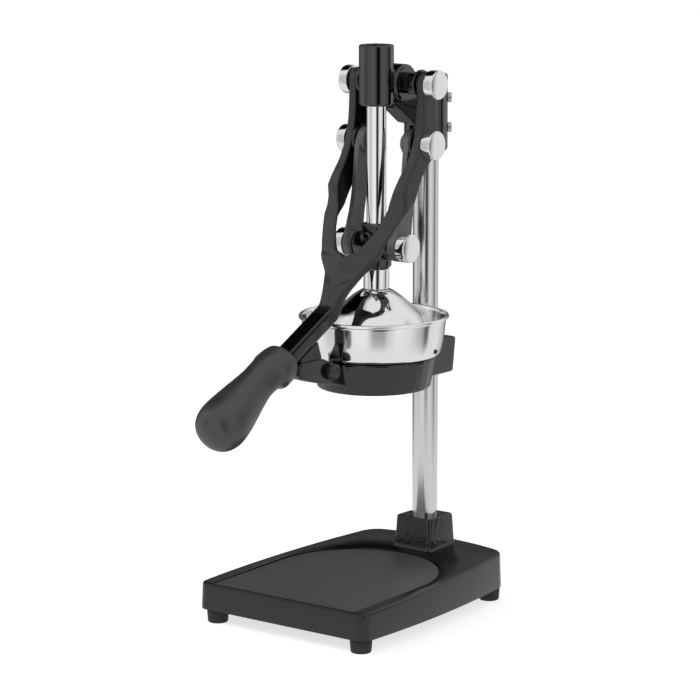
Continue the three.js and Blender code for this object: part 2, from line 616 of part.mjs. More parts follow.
function makeRodAndBell() {
  const place = ([r, drop]) => [bellRadius * r, bellTopZ - bellHeight * drop];
  const innerTop = place(bellInsideShares[bellInsideShares.length - 1])[1];
  const nutTopZ = innerTop - 2 * seatGap - washerThickness;
  const nutBottomZ = nutTopZ - bellNutHeight;
  add('press_rod', bar(rodRadius, nutBottomZ - rodTail, guideTopZ - rodTopDrop, rodChamfer), chrome);
  const hub = bar(crossheadRadius, crossheadBottomZ, crossheadTopZ, crossheadEdge);
  const cross = barX(crossheadBossRadius, -crossheadHalf, crossheadHalf, crossPin.toArray(), crossheadEdge);
  const bore = bar(rodRadius + boreGap, crossheadBottomZ - overrun, crossheadTopZ + overrun);
  const screwZ = crossheadBottomZ + (crossheadTopZ - crossheadBottomZ) * crossheadScrewLevelShare;
  const frontBar = (radius, from, to) => bar(radius, from, to, 0, smallSides)
    .rotate([90, 0, 0]).translate([0, 0, screwZ]);
  const flat = crossheadRadius - crossheadEdge;
  const flatBottomZ = crossheadBottomZ + crossheadEdge;
  const flatTopZ = crossheadTopZ + overrun;
  const flatCut = plateX([[-flat, flatBottomZ], [-flat, flatTopZ], [-flat - crossheadRadius, flatTopZ],
    [-flat - crossheadRadius, flatBottomZ]], -crossheadRadius, crossheadRadius);
  add('crosshead', cut(join(cut(hub, flatCut), cross), bore,
    frontBar(crossheadScrewRadius + boreGap, rodRadius, flat + crossheadRadius)), enamel);
  add('crosshead_screw', join(
    frontBar(crossheadScrewRadius, rodRadius + 2 * boreGap, flat + weld),
    frontBar(crossheadScrewHeadRadius, flat + seatGap, flat + seatGap + crossheadScrewHeadHeight)), enamel);
  const ringOf = (inside, outside, bottom, top, edge, segments) => turned([
    [inside, bottom], [outside - edge, bottom], [outside, bottom + edge], [outside, top - edge],
    [outside - edge, top], [inside, top]], segments);
  add('rod_sleeve', ringOf(rodRadius + boreGap, sleeveRadius, sleeveTopZ - sleeveLength, sleeveTopZ,
    sleeveEdge, roundSides), chrome);
  add('press_bell', turned([[rodRadius + boreGap, bellTopZ], ...bellOutsideShares.map(place),
    ...bellInsideShares.map(place), [rodRadius + boreGap, innerTop]], wideSides), chrome);
  add('bell_washer', ringOf(rodRadius + boreGap, bellWasherRadius, nutTopZ + seatGap,
    nutTopZ + seatGap + washerThickness, seatGap, smallSides), steel);
  add('bell_nut', cut(bar(bellNutRadius, nutBottomZ, nutTopZ, 0, 6),
    bar(rodRadius + boreGap, nutBottomZ - overrun, nutTopZ + overrun)), steel);
}

// Outside of the cup's upper wall, as (radius, z) points
function cupWall() {
  const wallRise = cupRimZ - 2 * cupBeadRadius - cupShoulderZ;
  return cupWallShares.map(([r, h]) => [cupWallTopRadius * r, cupShoulderZ + wallRise * h]);
}

function makeCup() {
  const lowerRadius = ringTopRadius - ringWall - cupNestGap;
  const lowerFootRadius = lowerRadius - (ringTopRadius - ringBottomRadius) * ringInnerTaperShare;
  const floorZ = ringBottomZ + ringLipHeight + seatGap + cupFloorDrop;
  const beadZ = cupRimZ - cupBeadRadius;
  const beadCentre = cupRimRadius - cupBeadRadius;
  const bead = cupBeadShares.map((turn) => [
    beadCentre + cupBeadRadius * Math.cos(turn * Math.PI), beadZ + cupBeadRadius * Math.sin(turn * Math.PI)]);
  const wallTopZ = beadZ - cupBeadRadius;
  const wall = cupWall();
  const cup = turned([
    [cupDrainRadius, floorZ - cupFloorDrop], [lowerFootRadius, floorZ],
    [lowerRadius, cupShoulderZ - cupSheet],
    [lowerRadius, cupShoulderZ], [cupSeatRadius, cupShoulderZ], ...wall, [cupWallTopRadius, wallTopZ],
    ...bead, [cupWallTopRadius - cupSheet, wallTopZ],
    ...wall.map(([r, z]) => [r - cupSheet, z + cupSheet / 2]).reverse(),
    [cupSeatRadius - cupSheet, cupShoulderZ + cupSheet], [lowerRadius - cupSheet, cupShoulderZ + cupSheet],
    [lowerFootRadius - cupSheet, floorZ + cupSheet], [cupDrainRadius, floorZ - cupFloorDrop + cupSheet]],
  wideSides);
  const relief = bar(columnRadius + 2 * boreGap, cupShoulderZ, cupRimZ + overrun, 0, wideSides);
  add('steel_cup', cut(cup.translate([0, -bowlForward, 0]), relief.translate([0, columnSetback, 0])), chrome);
  const [below, above] = wall.slice(-2);
  const wallRadius = below[0] + (above[0] - below[0]) * rivetLevelShare;
  const wallLean = Math.atan2(above[0] - below[0], above[1] - below[1]);
  const rivetZ = below[1] + (above[1] - below[1]) * rivetLevelShare;
  for (const [side, sign] of sides) {
    const turn = sign > 0 ? rivetAngle : Math.PI - rivetAngle;
    const rivet = bar(rivetRadius, seatGap, seatGap + rivetHeight, rivetHeight / 2, tinySides)
      .rotate([0, 90 + wallLean * THREE.MathUtils.RAD2DEG, 0]).translate([wallRadius, 0, rivetZ])
      .rotate([0, 0, turn * THREE.MathUtils.RAD2DEG]);
    add(`cup_rivet_${side}`, rivet.translate([0, -bowlForward, 0]), enamel);
  }
  const flangeZ = cupShoulderZ + cupSheet + seatGap;
  const outer = strainerDomeShares
    .map(([r, h]) => [strainerRadius * r, flangeZ + strainerSheet + strainerHeight * h]);
  const inner = strainerDomeShares
    .map(([r, h]) => [strainerRadius * r - strainerSheet, flangeZ + strainerHeight * h]).reverse();
  const dome = turned([[strainerRadius - strainerSheet, flangeZ], [strainerFlangeRadius, flangeZ],
    [strainerFlangeRadius, flangeZ + strainerSheet], ...outer,
    [0, flangeZ + strainerSheet + strainerHeight], [0, flangeZ + strainerHeight], ...inner], roundSides);
  const slots = [];
  const slotFloor = flangeZ + strainerSheet + overrun;
  for (let k = 0; k < slotCount; k += 1) {
    slots.push(plateX([[slotInner, slotFloor + strainerHeight], [slotOuter, flangeZ + strainerHeight],
      [slotOuter, slotFloor], [slotInner, slotFloor]],
    -slotWidth / 2, slotWidth / 2).rotate([0, 0, 360 * k / slotCount]));
  }
  add('strainer', cut(dome, ...slots).translate([0, -bowlForward, 0]), steel);
}

// Underside of the lever's shank at a distance in front of the rod axis
function shankUndersideZ(y) {
  const bendY = pivotSetback - forkReach;
  const bendZ = pivotHeight - forkDrop;
  const slope = Math.tan(shankSlope);
  return bendZ + (y - bendY) * slope - shankThickness / Math.cos(shankSlope);
}

function makeBracket() {
  const innerTop = ringTopRadius - ringWall;
  const innerFoot = innerTop - (ringTopRadius - ringBottomRadius) * ringInnerTaperShare;
  const ring = turned([
    [ringBottomRadius - ringEdge, ringBottomZ], [ringBottomRadius, ringBottomZ + ringEdge],
    [ringTopRadius, ringTopZ - ringEdge / 2], [ringTopRadius - ringEdge / 2, ringTopZ],
    [innerTop, ringTopZ], [innerFoot, ringBottomZ + ringLipHeight],
    [innerFoot - ringLip, ringBottomZ + ringLipHeight], [innerFoot - ringLip, ringBottomZ]], wideSides)
    .translate([0, -bowlForward, 0]);
  const square = (halfSide, z) => roundedRing(halfSide, halfSide, collarCorner)
    .map(([u, v]) => new THREE.Vector3(u, columnSetback + v, z));
  const wall = cupWall().map(([r, z]) => [r + 2 * seatGap, z - seatGap]);
  const cupRoom = turned([[0, ringTopZ], [cupSeatRadius + 2 * seatGap, ringTopZ], ...wall,
    [0, wall[wall.length - 1][1]]], wideSides).translate([0, -bowlForward, 0]);
  const collar = cut(loft([
    square(collarFootHalf - ringEdge, collarBottomZ), square(collarFootHalf, collarBottomZ + ringEdge),
    square(collarTopHalf, collarTopZ - ringEdge), square(collarTopHalf - ringEdge, collarTopZ)]), cupRoom);
  const wallMiddle = innerTop + ringWall / 2;
  const bridgeHalf = collarTopHalf * bridgeWidthShare;
  const bridge = plateX([
    [wallMiddle - bowlForward, ringBottomZ + ringEdge], [columnSetback, collarBottomZ + ringEdge],
    [columnSetback, ringTopZ], [wallMiddle - bowlForward, ringTopZ]], -bridgeHalf, bridgeHalf);
  const arm = plateX([
    [-bowlForward - innerFoot - weld, restArmRootBottomZ], [-bowlForward - wallMiddle, ringTopZ - ringEdge],
    [-bowlForward - ringTopRadius - cupBeadRadius, ringTopZ - ringEdge],
    [-restArmReach * restArmRiseShare, restArmTopZ], [-restArmReach + restArmTipEdge, restArmTopZ],
    [-restArmReach, restArmTopZ - restArmTipEdge], [-restArmReach, restArmTipBottomZ + restArmTipEdge],
    [-restArmReach + restArmTipEdge, restArmTipBottomZ],
    [-restArmReach * restArmBellyShare, restArmBellyZ]],
  -restArmHalf, restArmHalf);
  const columnBore = bar(columnRadius + boreGap, collarBottomZ - overrun, collarTopZ + overrun)
    .translate([0, columnSetback, 0]);
  const rearBar = (radius, from, to) => bar(radius, from, to, 0, smallSides).rotate([-90, 0, 0])
    .translate([0, columnSetback, (collarTopZ + collarBottomZ) / 2]);
  const restScrew = [-restArmReach * restScrewReachShare, restScrewZ];
  const pastArm = restArmHalf + overrun;
  const screwBore = barX(restScrewRadius + boreGap, -pastArm, pastArm, restScrew, 0, smallSides);
  add('ring_bracket', cut(join(ring, collar, bridge, arm), columnBore, screwBore,
    rearBar(clampScrewRadius + boreGap, columnRadius, collarTopHalf + overrun)), enamel);
  add('collar_clamp_screw', join(
    rearBar(clampScrewRadius, columnRadius + 2 * boreGap, collarTopHalf + weld),
    rearBar(clampScrewHeadRadius, collarTopHalf, collarTopHalf + clampScrewHeadHeight)), zinc);
  const backY = -restArmReach * restPadBackShare;
  const frontY = -restArmReach * restPadFrontShare;
  add('rest_pad', plateX([
    [backY, restArmTopZ + seatGap], [backY - restPadLean, shankUndersideZ(backY - restPadLean) - seatGap],
    [frontY, shankUndersideZ(frontY) - seatGap], [frontY, restArmTopZ + seatGap]],
  -restPadHalf, restPadHalf), rubber);
  const headFrom = restArmHalf + seatGap;
  const domed = restScrewDomeShares
    .map(([r, t]) => [restScrewHeadRadius * r, headFrom + restScrewHeadLength * t]);
  const dome = turned([[0, headFrom], [restScrewHeadRadius, headFrom], ...domed,
    [0, headFrom + restScrewHeadLength]], smallSides)
    .rotate([0, 90, 0]).translate([0, ...restScrew]);
  const nutEnd = -restArmHalf - seatGap - restNutHeight;
  const screwShank = barX(restScrewRadius, nutEnd, headFrom + weld, restScrew, 0, smallSides);
  add('rest_screw', join(dome, screwShank), enamel);
  add('rest_nut', cut(barX(restNutRadius, nutEnd, -restArmHalf - seatGap, restScrew, 0, 6),
    barX(restScrewRadius + boreGap, nutEnd - overrun, -restArmHalf, restScrew, 0, smallSides)), zinc);
}

// A chrome cap over the end of a pin, its open side at x = from, on the side given by sign
function makeCap(name, sign, from, pinSize, [y, z]) {
  const bore = pinSize + boreGap;
  const cap = turned([[bore, 0], [capRadius, 0], [capRadius, capLength - capEdge],
    [capRadius - capEdge, capLength], [0, capLength], [0, capDepth], [bore, capDepth]]);
  add(name, cap.rotate([0, sign * 90, 0]).translate([sign * from, y, z]), chrome);
}

// The two ends, in rising order, of a piece that lies from one distance to another on a side
const spanX = (sign, from, to) => [sign * from, sign * to].sort((a, b) => a - b);

function makeWasher(name, sign, from, thickness, outside, inside, centre, material) {
  const [low, high] = spanX(sign, from, from + thickness);
  const bore = barX(inside + boreGap, low - overrun, high + overrun, centre, 0, smallSides);
  add(name, cut(barX(outside, low, high, centre), bore), material);
}

function makePins() {
  const shaftEnd = armOuterX + capDepth;
  const shaft = barX(upperShaftRadius, -shaftEnd, shaftEnd, pivot.toArray(), seatGap, smallSides);
  add('upper_shaft', shaft, steel);
  const washerFrom = armInnerX - seatGap - upperWasherThickness;
  for (const [side, sign] of sides) {
    makeCap(`upper_cap_${side}`, sign, armOuterX + seatGap, upperShaftRadius, pivot.toArray());
    const spacerFrom = crossBossHalf + seatGap;
    makeWasher(`upper_spacer_${side}`, sign, spacerFrom, washerFrom - seatGap - spacerFrom, spacerRadius,
      upperShaftRadius, pivot.toArray(), enamel);
    makeWasher(`upper_washer_${side}`, sign, washerFrom, upperWasherThickness, upperWasherRadius,
      upperShaftRadius, pivot.toArray(), enamel);
    const midWasherFrom = linkOuterX + seatGap;
    makeWasher(`mid_washer_${side}`, sign, midWasherFrom, armInnerX - seatGap - midWasherFrom,
      midWasherRadius, pinRadius, linkPin.toArray(), enamel);
    makeCap(`mid_cap_${side}`, sign, armOuterX + seatGap, pinRadius, linkPin.toArray());
    const headEnd = linkInnerX - seatGap;
    const pin = (radius, from, to, centre) =>
      barX(radius, ...spanX(sign, from, to), centre.toArray(), seatGap, smallSides);
    add(`mid_pin_${side}`, join(pin(pinHeadRadius, headEnd - pinHeadLength, headEnd, linkPin),
      pin(pinRadius, headEnd - weld, shaftEnd, linkPin)), steel);
    add(`lower_pin_${side}`, pin(pinRadius, crossheadHalf + seatGap, linkOuterX + capDepth, crossPin), steel);
    makeCap(`lower_cap_${side}`, sign, linkOuterX + seatGap, pinRadius, crossPin.toArray());
    makeLink(`link_${side}`, sign);
  }
}

function makeLink(name, sign) {
  const along = linkPin.clone().sub(crossPin);
  const unit = along.clone().normalize();
  const across = new THREE.Vector2(-unit.y, unit.x);
  const [webFrom, webTo] = spanX(sign, linkOuterX - linkWeb, linkOuterX);
  const [bossFrom, bossTo] = spanX(sign, linkInnerX, linkOuterX);
  const place = (t, side, width) => {
    const p = crossPin.clone().addScaledVector(along, t).addScaledVector(across, side * width);
    return [p.x, p.y];
  };
  const widths = linkWidthShares.map(([t, share]) => [t, linkEndRadius * share]);
  const outline = widths.map(([t, w]) => place(t, 1, w))
    .concat(widths.slice().reverse().map(([t, w]) => place(t, -1, w)));
  const web = plateX(outline, webFrom, webTo);
  const ends = [linkPin, crossPin].map((p) => barX(linkEndRadius, bossFrom, bossTo, p.toArray(), linkEdge));
  const bores = [linkPin, crossPin].map((p) =>
    barX(pinRadius + boreGap, bossFrom - overrun, bossTo + overrun, p.toArray(), 0, smallSides));
  add(name, cut(join(web, ...ends), ...bores), enamel);
}

// One arm of the fork, from the fulcrum to the bend, on the side given by sign
function forkArm(sign) {
  const curve = (pick) => new THREE.CatmullRomCurve3(armStationShares.map(pick), false, 'centripetal');
  const edgeAt = (key) => curve((s) => new THREE.Vector3(
    0, pivotSetback - forkReach * s[key][0], pivotHeight - forkDrop * s[key][1]));
  const front = edgeAt('front');
  const rear = edgeAt('rear');
  const faces = curve((s) => new THREE.Vector3(armInnerX * s.inner, armOuterX * s.outer, 0));
  const rings = [];
  const steps = armStationShares.length - 1;
  for (let i = 0; i <= steps; i += 1) {
    const t = i / steps;
    const [a, b, x] = [front.getPoint(t), rear.getPoint(t), faces.getPoint(t)];
    const middle = a.clone().add(b).multiplyScalar(0.5);
    const deep = a.clone().sub(b);
    const half = deep.length() / 2;
    const { bevel = 0, slant = 0 } = armStationShares[i];
    deep.normalize();
    rings.push(roundedRing((x.y - x.x) / 2, half, armEdge, 2).map(([u, v]) => {
      let forward = v;
      if (u < 0 && v < 0) forward += bevel * 2 * half;
      if (u > 0 && v > 0) forward -= slant * 2 * half;
      return new THREE.Vector3(
        sign * ((x.x + x.y) / 2 + u), middle.y + deep.y * forward, middle.z + deep.z * forward);
    }));
  }
  return loft(rings);
}

// Frame of the shank and grip: origin at the top of the bend, axis forward and down
const shankAxis = new THREE.Vector3(0, -Math.cos(shankSlope), -Math.sin(shankSlope));
const shankUp = new THREE.Vector3(0, -Math.sin(shankSlope), Math.cos(shankSlope));
const shankStart = new THREE.Vector3(0, pivotSetback - forkReach, pivotHeight - forkDrop)
  .addScaledVector(shankUp, -shankThickness / 2);
const onShank = (along, x, up) => shankStart.clone().addScaledVector(shankAxis, along)
  .addScaledVector(shankUp, up).add(new THREE.Vector3(x, 0, 0));

function makeLever() {
  const parts = [];
  for (const [, sign] of sides) {
    parts.push(forkArm(sign));
    const [from, to] = sign > 0 ? [armInnerX, armOuterX] : [-armOuterX, -armInnerX];
    parts.push(barX(armEndRadius, from, to, pivot.toArray(), armEdge));
    parts.push(barX(armPinBossRadius, from, to, linkPin.toArray(), armEdge));
  }
  const shankRing = (along, shrink) => roundedRing(shankHalf - shrink, shankThickness / 2 - shrink, shankEdge)
    .map(([u, v]) => onShank(along, u, v));
  const [rootShare, fullShare] = shankRootShares;
  parts.push(loft([shankRing(-shankThickness * rootShare, weld), shankRing(-shankThickness * fullShare, 0),
    shankRing(0, 0), shankRing(shankLength, 0)]));
  const bores = [];
  for (const [centre, radius] of [[pivot, upperShaftRadius], [linkPin, pinRadius]]) {
    const pastArm = armOuterX + overrun;
    bores.push(barX(radius + boreGap, -pastArm, pastArm, centre.toArray(), 0, smallSides));
  }
  add('fork_lever', cut(join(...parts), ...bores), enamel);

  const gripRings = gripStationShares.map(([along, up, down]) => {
    const ring = [];
    const halfWidth = gripBulbRadius * (up + down) / 2;
    for (let k = 0; k < roundSides; k += 1) {
      const angle = k / roundSides * Math.PI * 2;
      const height = gripBulbRadius * (Math.sin(angle) > 0 ? up : down) * Math.sin(angle);
      ring.push(onShank(gripStart + gripLength * along, halfWidth * Math.cos(angle), height));
    }
    return ring;
  });
  const socketHalf = [shankHalf + gripWallGap, shankThickness / 2 + gripWallGap];
  const socketRing = (along) => roundedRing(...socketHalf, shankEdge).map(([u, v]) => onShank(along, u, v));
  const socketEnd = shankLength + gripWallGap;
  add('grip', cut(loft(gripRings), loft([socketRing(gripStart - overrun), socketRing(socketEnd)])), rubber);
}

const base = makeBase();
add('base', base, enamel);
makeFeet();
makeColumn();
makeHead();
makeRodAndBell();
makeCup();
makeBracket();
makePins();
makeLever();

const box = new THREE.Box3().setFromObject(model);
const press = new THREE.Group();
model.position.set(0, -(box.min.y + box.max.y) / 2, -box.min.z);
press.add(model);

export default press;
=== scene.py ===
"""Fine shapes, finishes and studio for a lever citrus press, over its packed solid model."""

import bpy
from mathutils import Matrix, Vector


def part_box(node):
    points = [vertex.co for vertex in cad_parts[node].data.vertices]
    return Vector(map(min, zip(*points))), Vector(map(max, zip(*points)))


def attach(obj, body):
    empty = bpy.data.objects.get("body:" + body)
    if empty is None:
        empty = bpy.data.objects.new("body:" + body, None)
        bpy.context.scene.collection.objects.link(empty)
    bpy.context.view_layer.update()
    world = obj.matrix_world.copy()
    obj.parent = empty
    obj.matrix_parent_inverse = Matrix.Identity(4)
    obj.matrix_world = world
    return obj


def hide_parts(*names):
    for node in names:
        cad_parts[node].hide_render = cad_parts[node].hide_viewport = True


bl_info = {
    "name": "Lever citrus press",
    "version": (1, 0, 0),
    "blender": (4, 5, 0),
    "location": "3D View > Sidebar > Press",
    "description": "Dresses the press with fine shapes and finishes, and sets up its studio",
    "category": "Object",
}

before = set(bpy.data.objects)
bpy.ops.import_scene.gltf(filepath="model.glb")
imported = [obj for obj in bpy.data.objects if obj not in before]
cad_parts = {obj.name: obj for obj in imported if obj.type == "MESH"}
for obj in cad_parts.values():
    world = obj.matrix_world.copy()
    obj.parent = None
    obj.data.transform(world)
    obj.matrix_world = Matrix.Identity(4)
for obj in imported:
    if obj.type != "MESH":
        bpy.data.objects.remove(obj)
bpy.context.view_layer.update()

import math

import bmesh
import bpy
from bpy.props import FloatProperty, FloatVectorProperty, IntProperty, PointerProperty
from mathutils import Matrix, Vector

MM = 0.001
SIDES = ("left", "right")
CORNERS = ("front_left", "rear_left", "front_right", "rear_right")

# The model's middle stands behind the press rod's axis
ROD_PLACE = Vector((0, sum(c.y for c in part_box("press_rod")) / 2, 0))
COLUMN_PLACE = Vector((0, sum(c.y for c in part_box("column")) / 2, 0))


def colour_property(name, value, description):
    return FloatVectorProperty(
        name=name, description=description, default=value, subtype="COLOR", min=0, max=1)


def length_property(name, value, description):
    return FloatProperty(name=name, description=description, default=value, unit="LENGTH", precision=5)


class PressFinishes(bpy.types.PropertyGroup):
    enamel: colour_property("Enamel", (0.0022, 0.0022, 0.0024), "Gloss enamel on the castings")
    # The glass rest's floor is satin; its lighter grey is painted sheen
    rest_sheen_grey: colour_property("Panel enamel", (0.051, 0.051, 0.053), "Satin floor of the glass rest")
    lever_enamel: colour_property("Lever enamel", (0.0165, 0.0165, 0.017), "Satin enamel on the fork lever")
    link_enamel: colour_property("Link enamel", (0.072, 0.072, 0.074), "Satin enamel on the side links")
    chrome: colour_property("Chrome", (0.90, 0.90, 0.905), "Plating on rod, bell and caps")
    column_chrome: colour_property("Column chrome", (0.74, 0.74, 0.745), "Duller plating on the drawn column")
    cup_steel: colour_property("Cup steel", (0.90, 0.90, 0.905), "Polished steel of the cup")
    satin_steel: colour_property("Satin steel", (0.60, 0.61, 0.63), "Pins, washers and strainer")
    zinc: colour_property("Zinc", (0.50, 0.51, 0.52), "Plated screws and nuts")
    bronze: colour_property("Bronze", (0.48, 0.31, 0.13), "Bush in the guide boss")
    grip_rubber: colour_property("Grip rubber", (0.024, 0.0245, 0.026), "Grip of the lever")
    foot_rubber: colour_property("Foot rubber", (0.012, 0.012, 0.0125), "Feet")


class PressSizes(bpy.types.PropertyGroup):
    casting_grain: length_property("Casting grain", 0.75 * MM, "Mesh size of the castings")
    casting_rounds: IntProperty(
        name="Casting rounds", description="Smoothing passes on casting edges", default=9, min=0)
    base_edge: length_property("Base edge", 2.2 * MM, "Rounding of the base's top edge")
    rest_groove: length_property("Rest groove", 1.3 * MM, "Width of the groove round the glass rest")
    rest_front_depth: length_property("Rest front depth", 0.4 * MM, "Depth of the glass rest at the front")
    rest_rear_depth: length_property("Rest rear depth", 1.2 * MM, "Depth of the glass rest at its round back")
    pedestal_fillet: length_property("Pedestal fillet", 3.0 * MM, "Flare where the pedestal meets the base")
    cap_edge: length_property("Cap edge", 1.1 * MM, "Rounding of the chrome caps")
    foot_edge: length_property("Foot edge", 1.0 * MM, "Rounding of the feet")
    cup_bead: length_property("Cup bead", 1.8 * MM, "Radius of the cup's rolled rim")
    cup_sheet: length_property("Cup sheet", 1.0 * MM, "Thickness of the cup's steel")
    turning_steps: IntProperty(
        name="Turning steps", description="Sides of turned pieces", default=128, min=24)


class PressStudio(bpy.types.PropertyGroup):
    camera_place: FloatVectorProperty(
        name="Camera place", description="Where the camera stands, from the press rod", unit="LENGTH",
        default=(1.55722, -2.03, 0.69533), precision=5)
    camera_aim: FloatVectorProperty(
        name="Camera aim", description="Direction of view", default=(-0.60549, 0.7751, -0.18053), precision=5)
    camera_roll: FloatProperty(
        name="Camera roll", description="Turn about the view", default=-0.00146, subtype="ANGLE")
    lens: FloatProperty(name="Lens", description="Focal length in millimetres", default=156.69)
    floor_shade: colour_property("Floor", (0.85, 0.85, 0.85), "Floor under the press")
    floor_seen: colour_property("Seen floor", (0.5, 0.5, 0.5), "Floor shade under the soft shadow, as seen")
    floor_glow: FloatProperty(
        name="Floor glow", description="Light added to the seen floor, up to white", default=0.7)
    world_level: FloatProperty(name="World level", description="Light from all round", default=0.64)
    key_power: FloatProperty(name="Key power", description="Watts of the key softbox", default=22)
    fill_power: FloatProperty(name="Fill power", description="Watts of the fill softbox", default=9)


# Shapes: verts and faces of one mesh, in metres


class Shape:
    def __init__(self):
        self.verts = []
        self.faces = []

    def loft(self, rings, closed=False, ends=True):
        """A skin over rings of equal point counts, with flat ends, or closed on itself."""
        start = len(self.verts)
        count = len(rings[0])
        for ring in rings:
            self.verts.extend(Vector(p) for p in ring)
        rows = len(rings) if closed else len(rings) - 1
        for row in range(rows):
            a = start + row * count
            b = start + (row + 1) % len(rings) * count
            for k in range(count):
                n = (k + 1) % count
                self.faces.append((a + k, a + n, b + n, b + k))
        if ends and not closed:
            self.faces.append(tuple(range(start + count - 1, start - 1, -1)))
            last = start + (len(rings) - 1) * count
            self.faces.append(tuple(range(last, last + count)))
        return self

    def turn(self, profile, place, steps):
        """A profile of (radius, along) points turned about an axis; it ends on the axis or on itself."""
        angles = [2 * math.pi * k / steps for k in range(steps)]
        rings = [[place(r * math.cos(a), r * math.sin(a), t) for a in angles] for r, t in profile]
        closed = min(profile[0][0], profile[-1][0]) > 0
        return self.loft(rings, closed=closed, ends=not closed)

    def build(self, name, sharp=32):
        """A mesh object with its doubles merged, facing outwards, smooth up to an angle."""
        mesh = bpy.data.meshes.new(name)
        mesh.from_pydata(self.verts, [], self.faces)
        return tidy_mesh(bpy.data.objects.new(name, mesh), sharp)


def tidy_mesh(piece, sharp=32, merge=1e-6):
    bm = bmesh.new()
    bm.from_mesh(piece.data)
    bmesh.ops.remove_doubles(bm, verts=bm.verts, dist=merge)
    bmesh.ops.dissolve_degenerate(bm, edges=bm.edges, dist=merge)
    bmesh.ops.recalc_face_normals(bm, faces=bm.faces)
    bm.to_mesh(piece.data)
    bm.free()
    smooth(piece, sharp)
    if piece.name not in bpy.context.scene.collection.objects:
        bpy.context.scene.collection.objects.link(piece)
    return piece


def smooth(piece, sharp=32):
    piece.data.shade_smooth()
    piece.data.set_sharp_from_angle(angle=math.radians(sharp))


def settle(piece, sharp=32):
    """Turns what the modifiers make into the piece's own plain mesh."""
    bpy.context.view_layer.update()
    made = bpy.data.meshes.new_from_object(piece.evaluated_get(bpy.context.evaluated_depsgraph_get()))
    piece.modifiers.clear()
    piece.data = made
    smooth(piece, sharp)
    return piece


def soften(piece, grain, passes):
    """Remakes a solid from small cells and smooths it, so that its edges and inner corners round off."""
    remesh = piece.modifiers.new("Grain", "REMESH")
    remesh.mode = "VOXEL"
    remesh.voxel_size = grain
    rounds = piece.modifiers.new("Soften", "SMOOTH")
    rounds.factor = 0.5
    rounds.iterations = passes
    return settle(piece, 180)


def clamped(value):
    """The value kept between 0 and 1."""
    return min(max(value, 0), 1)


def paint(mesh, name, value_at):
    """Gives the mesh an attribute with the value at each vertex."""
    layer = mesh.attributes.new(name, "FLOAT", "POINT")
    for vertex, entry in zip(mesh.vertices, layer.data):
        entry.value = value_at(vertex)


def along(origin, axis):
    """Places (a, b, t): t runs along the axis from the origin, a and b across it."""
    axis = Vector(axis).normalized()
    across = Vector((0, 0, 1)) if abs(axis.z) < 0.9 else Vector((1, 0, 0))
    u = across.cross(axis).normalized()
    v = axis.cross(u)
    origin = Vector(origin)
    return lambda a, b, t: origin + u * a + v * b + axis * t


def rounded(points, steps=4):
    """(r, t, radius) corners as (r, t) points, each corner with a radius made an arc."""
    out = []
    for k, (r, t, radius) in enumerate(points):
        here = Vector((r, t))
        if radius <= 0 or k in (0, len(points) - 1):
            out.append((r, t))
            continue
        before = Vector(points[k - 1][:2]) - here
        after = Vector(points[k + 1][:2]) - here
        reach = min(radius, before.length * 0.49, after.length * 0.49)
        a = here + before.normalized() * reach
        b = here + after.normalized() * reach
        for i in range(steps + 1):
            s = i / steps
            p = a * (1 - s) ** 2 + here * 2 * s * (1 - s) + b * s * s
            out.append((p.x, p.y))
    return out


def curve_through(points, steps=6):
    """A smooth curve through (x, y, ...) points."""
    out = []
    last = len(points) - 1
    for k in range(last):
        p0, p1, p2, p3 = (Vector(points[min(max(k + d, 0), last)]) for d in (-1, 0, 1, 2))
        for i in range(steps):
            s = i / steps
            out.append(tuple(
                (p1 * 2 + (p2 - p0) * s + (p0 * 2 - p1 * 5 + p2 * 4 - p3) * s * s
                 + (p1 * 3 - p0 - p2 * 3 + p3) * s ** 3) * 0.5))
    out.append(tuple(points[-1]))
    return out


def box_of(node):
    """Middle and half sizes of a node."""
    low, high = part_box(node)
    return (low + high) / 2, (high - low) / 2


# Finishes


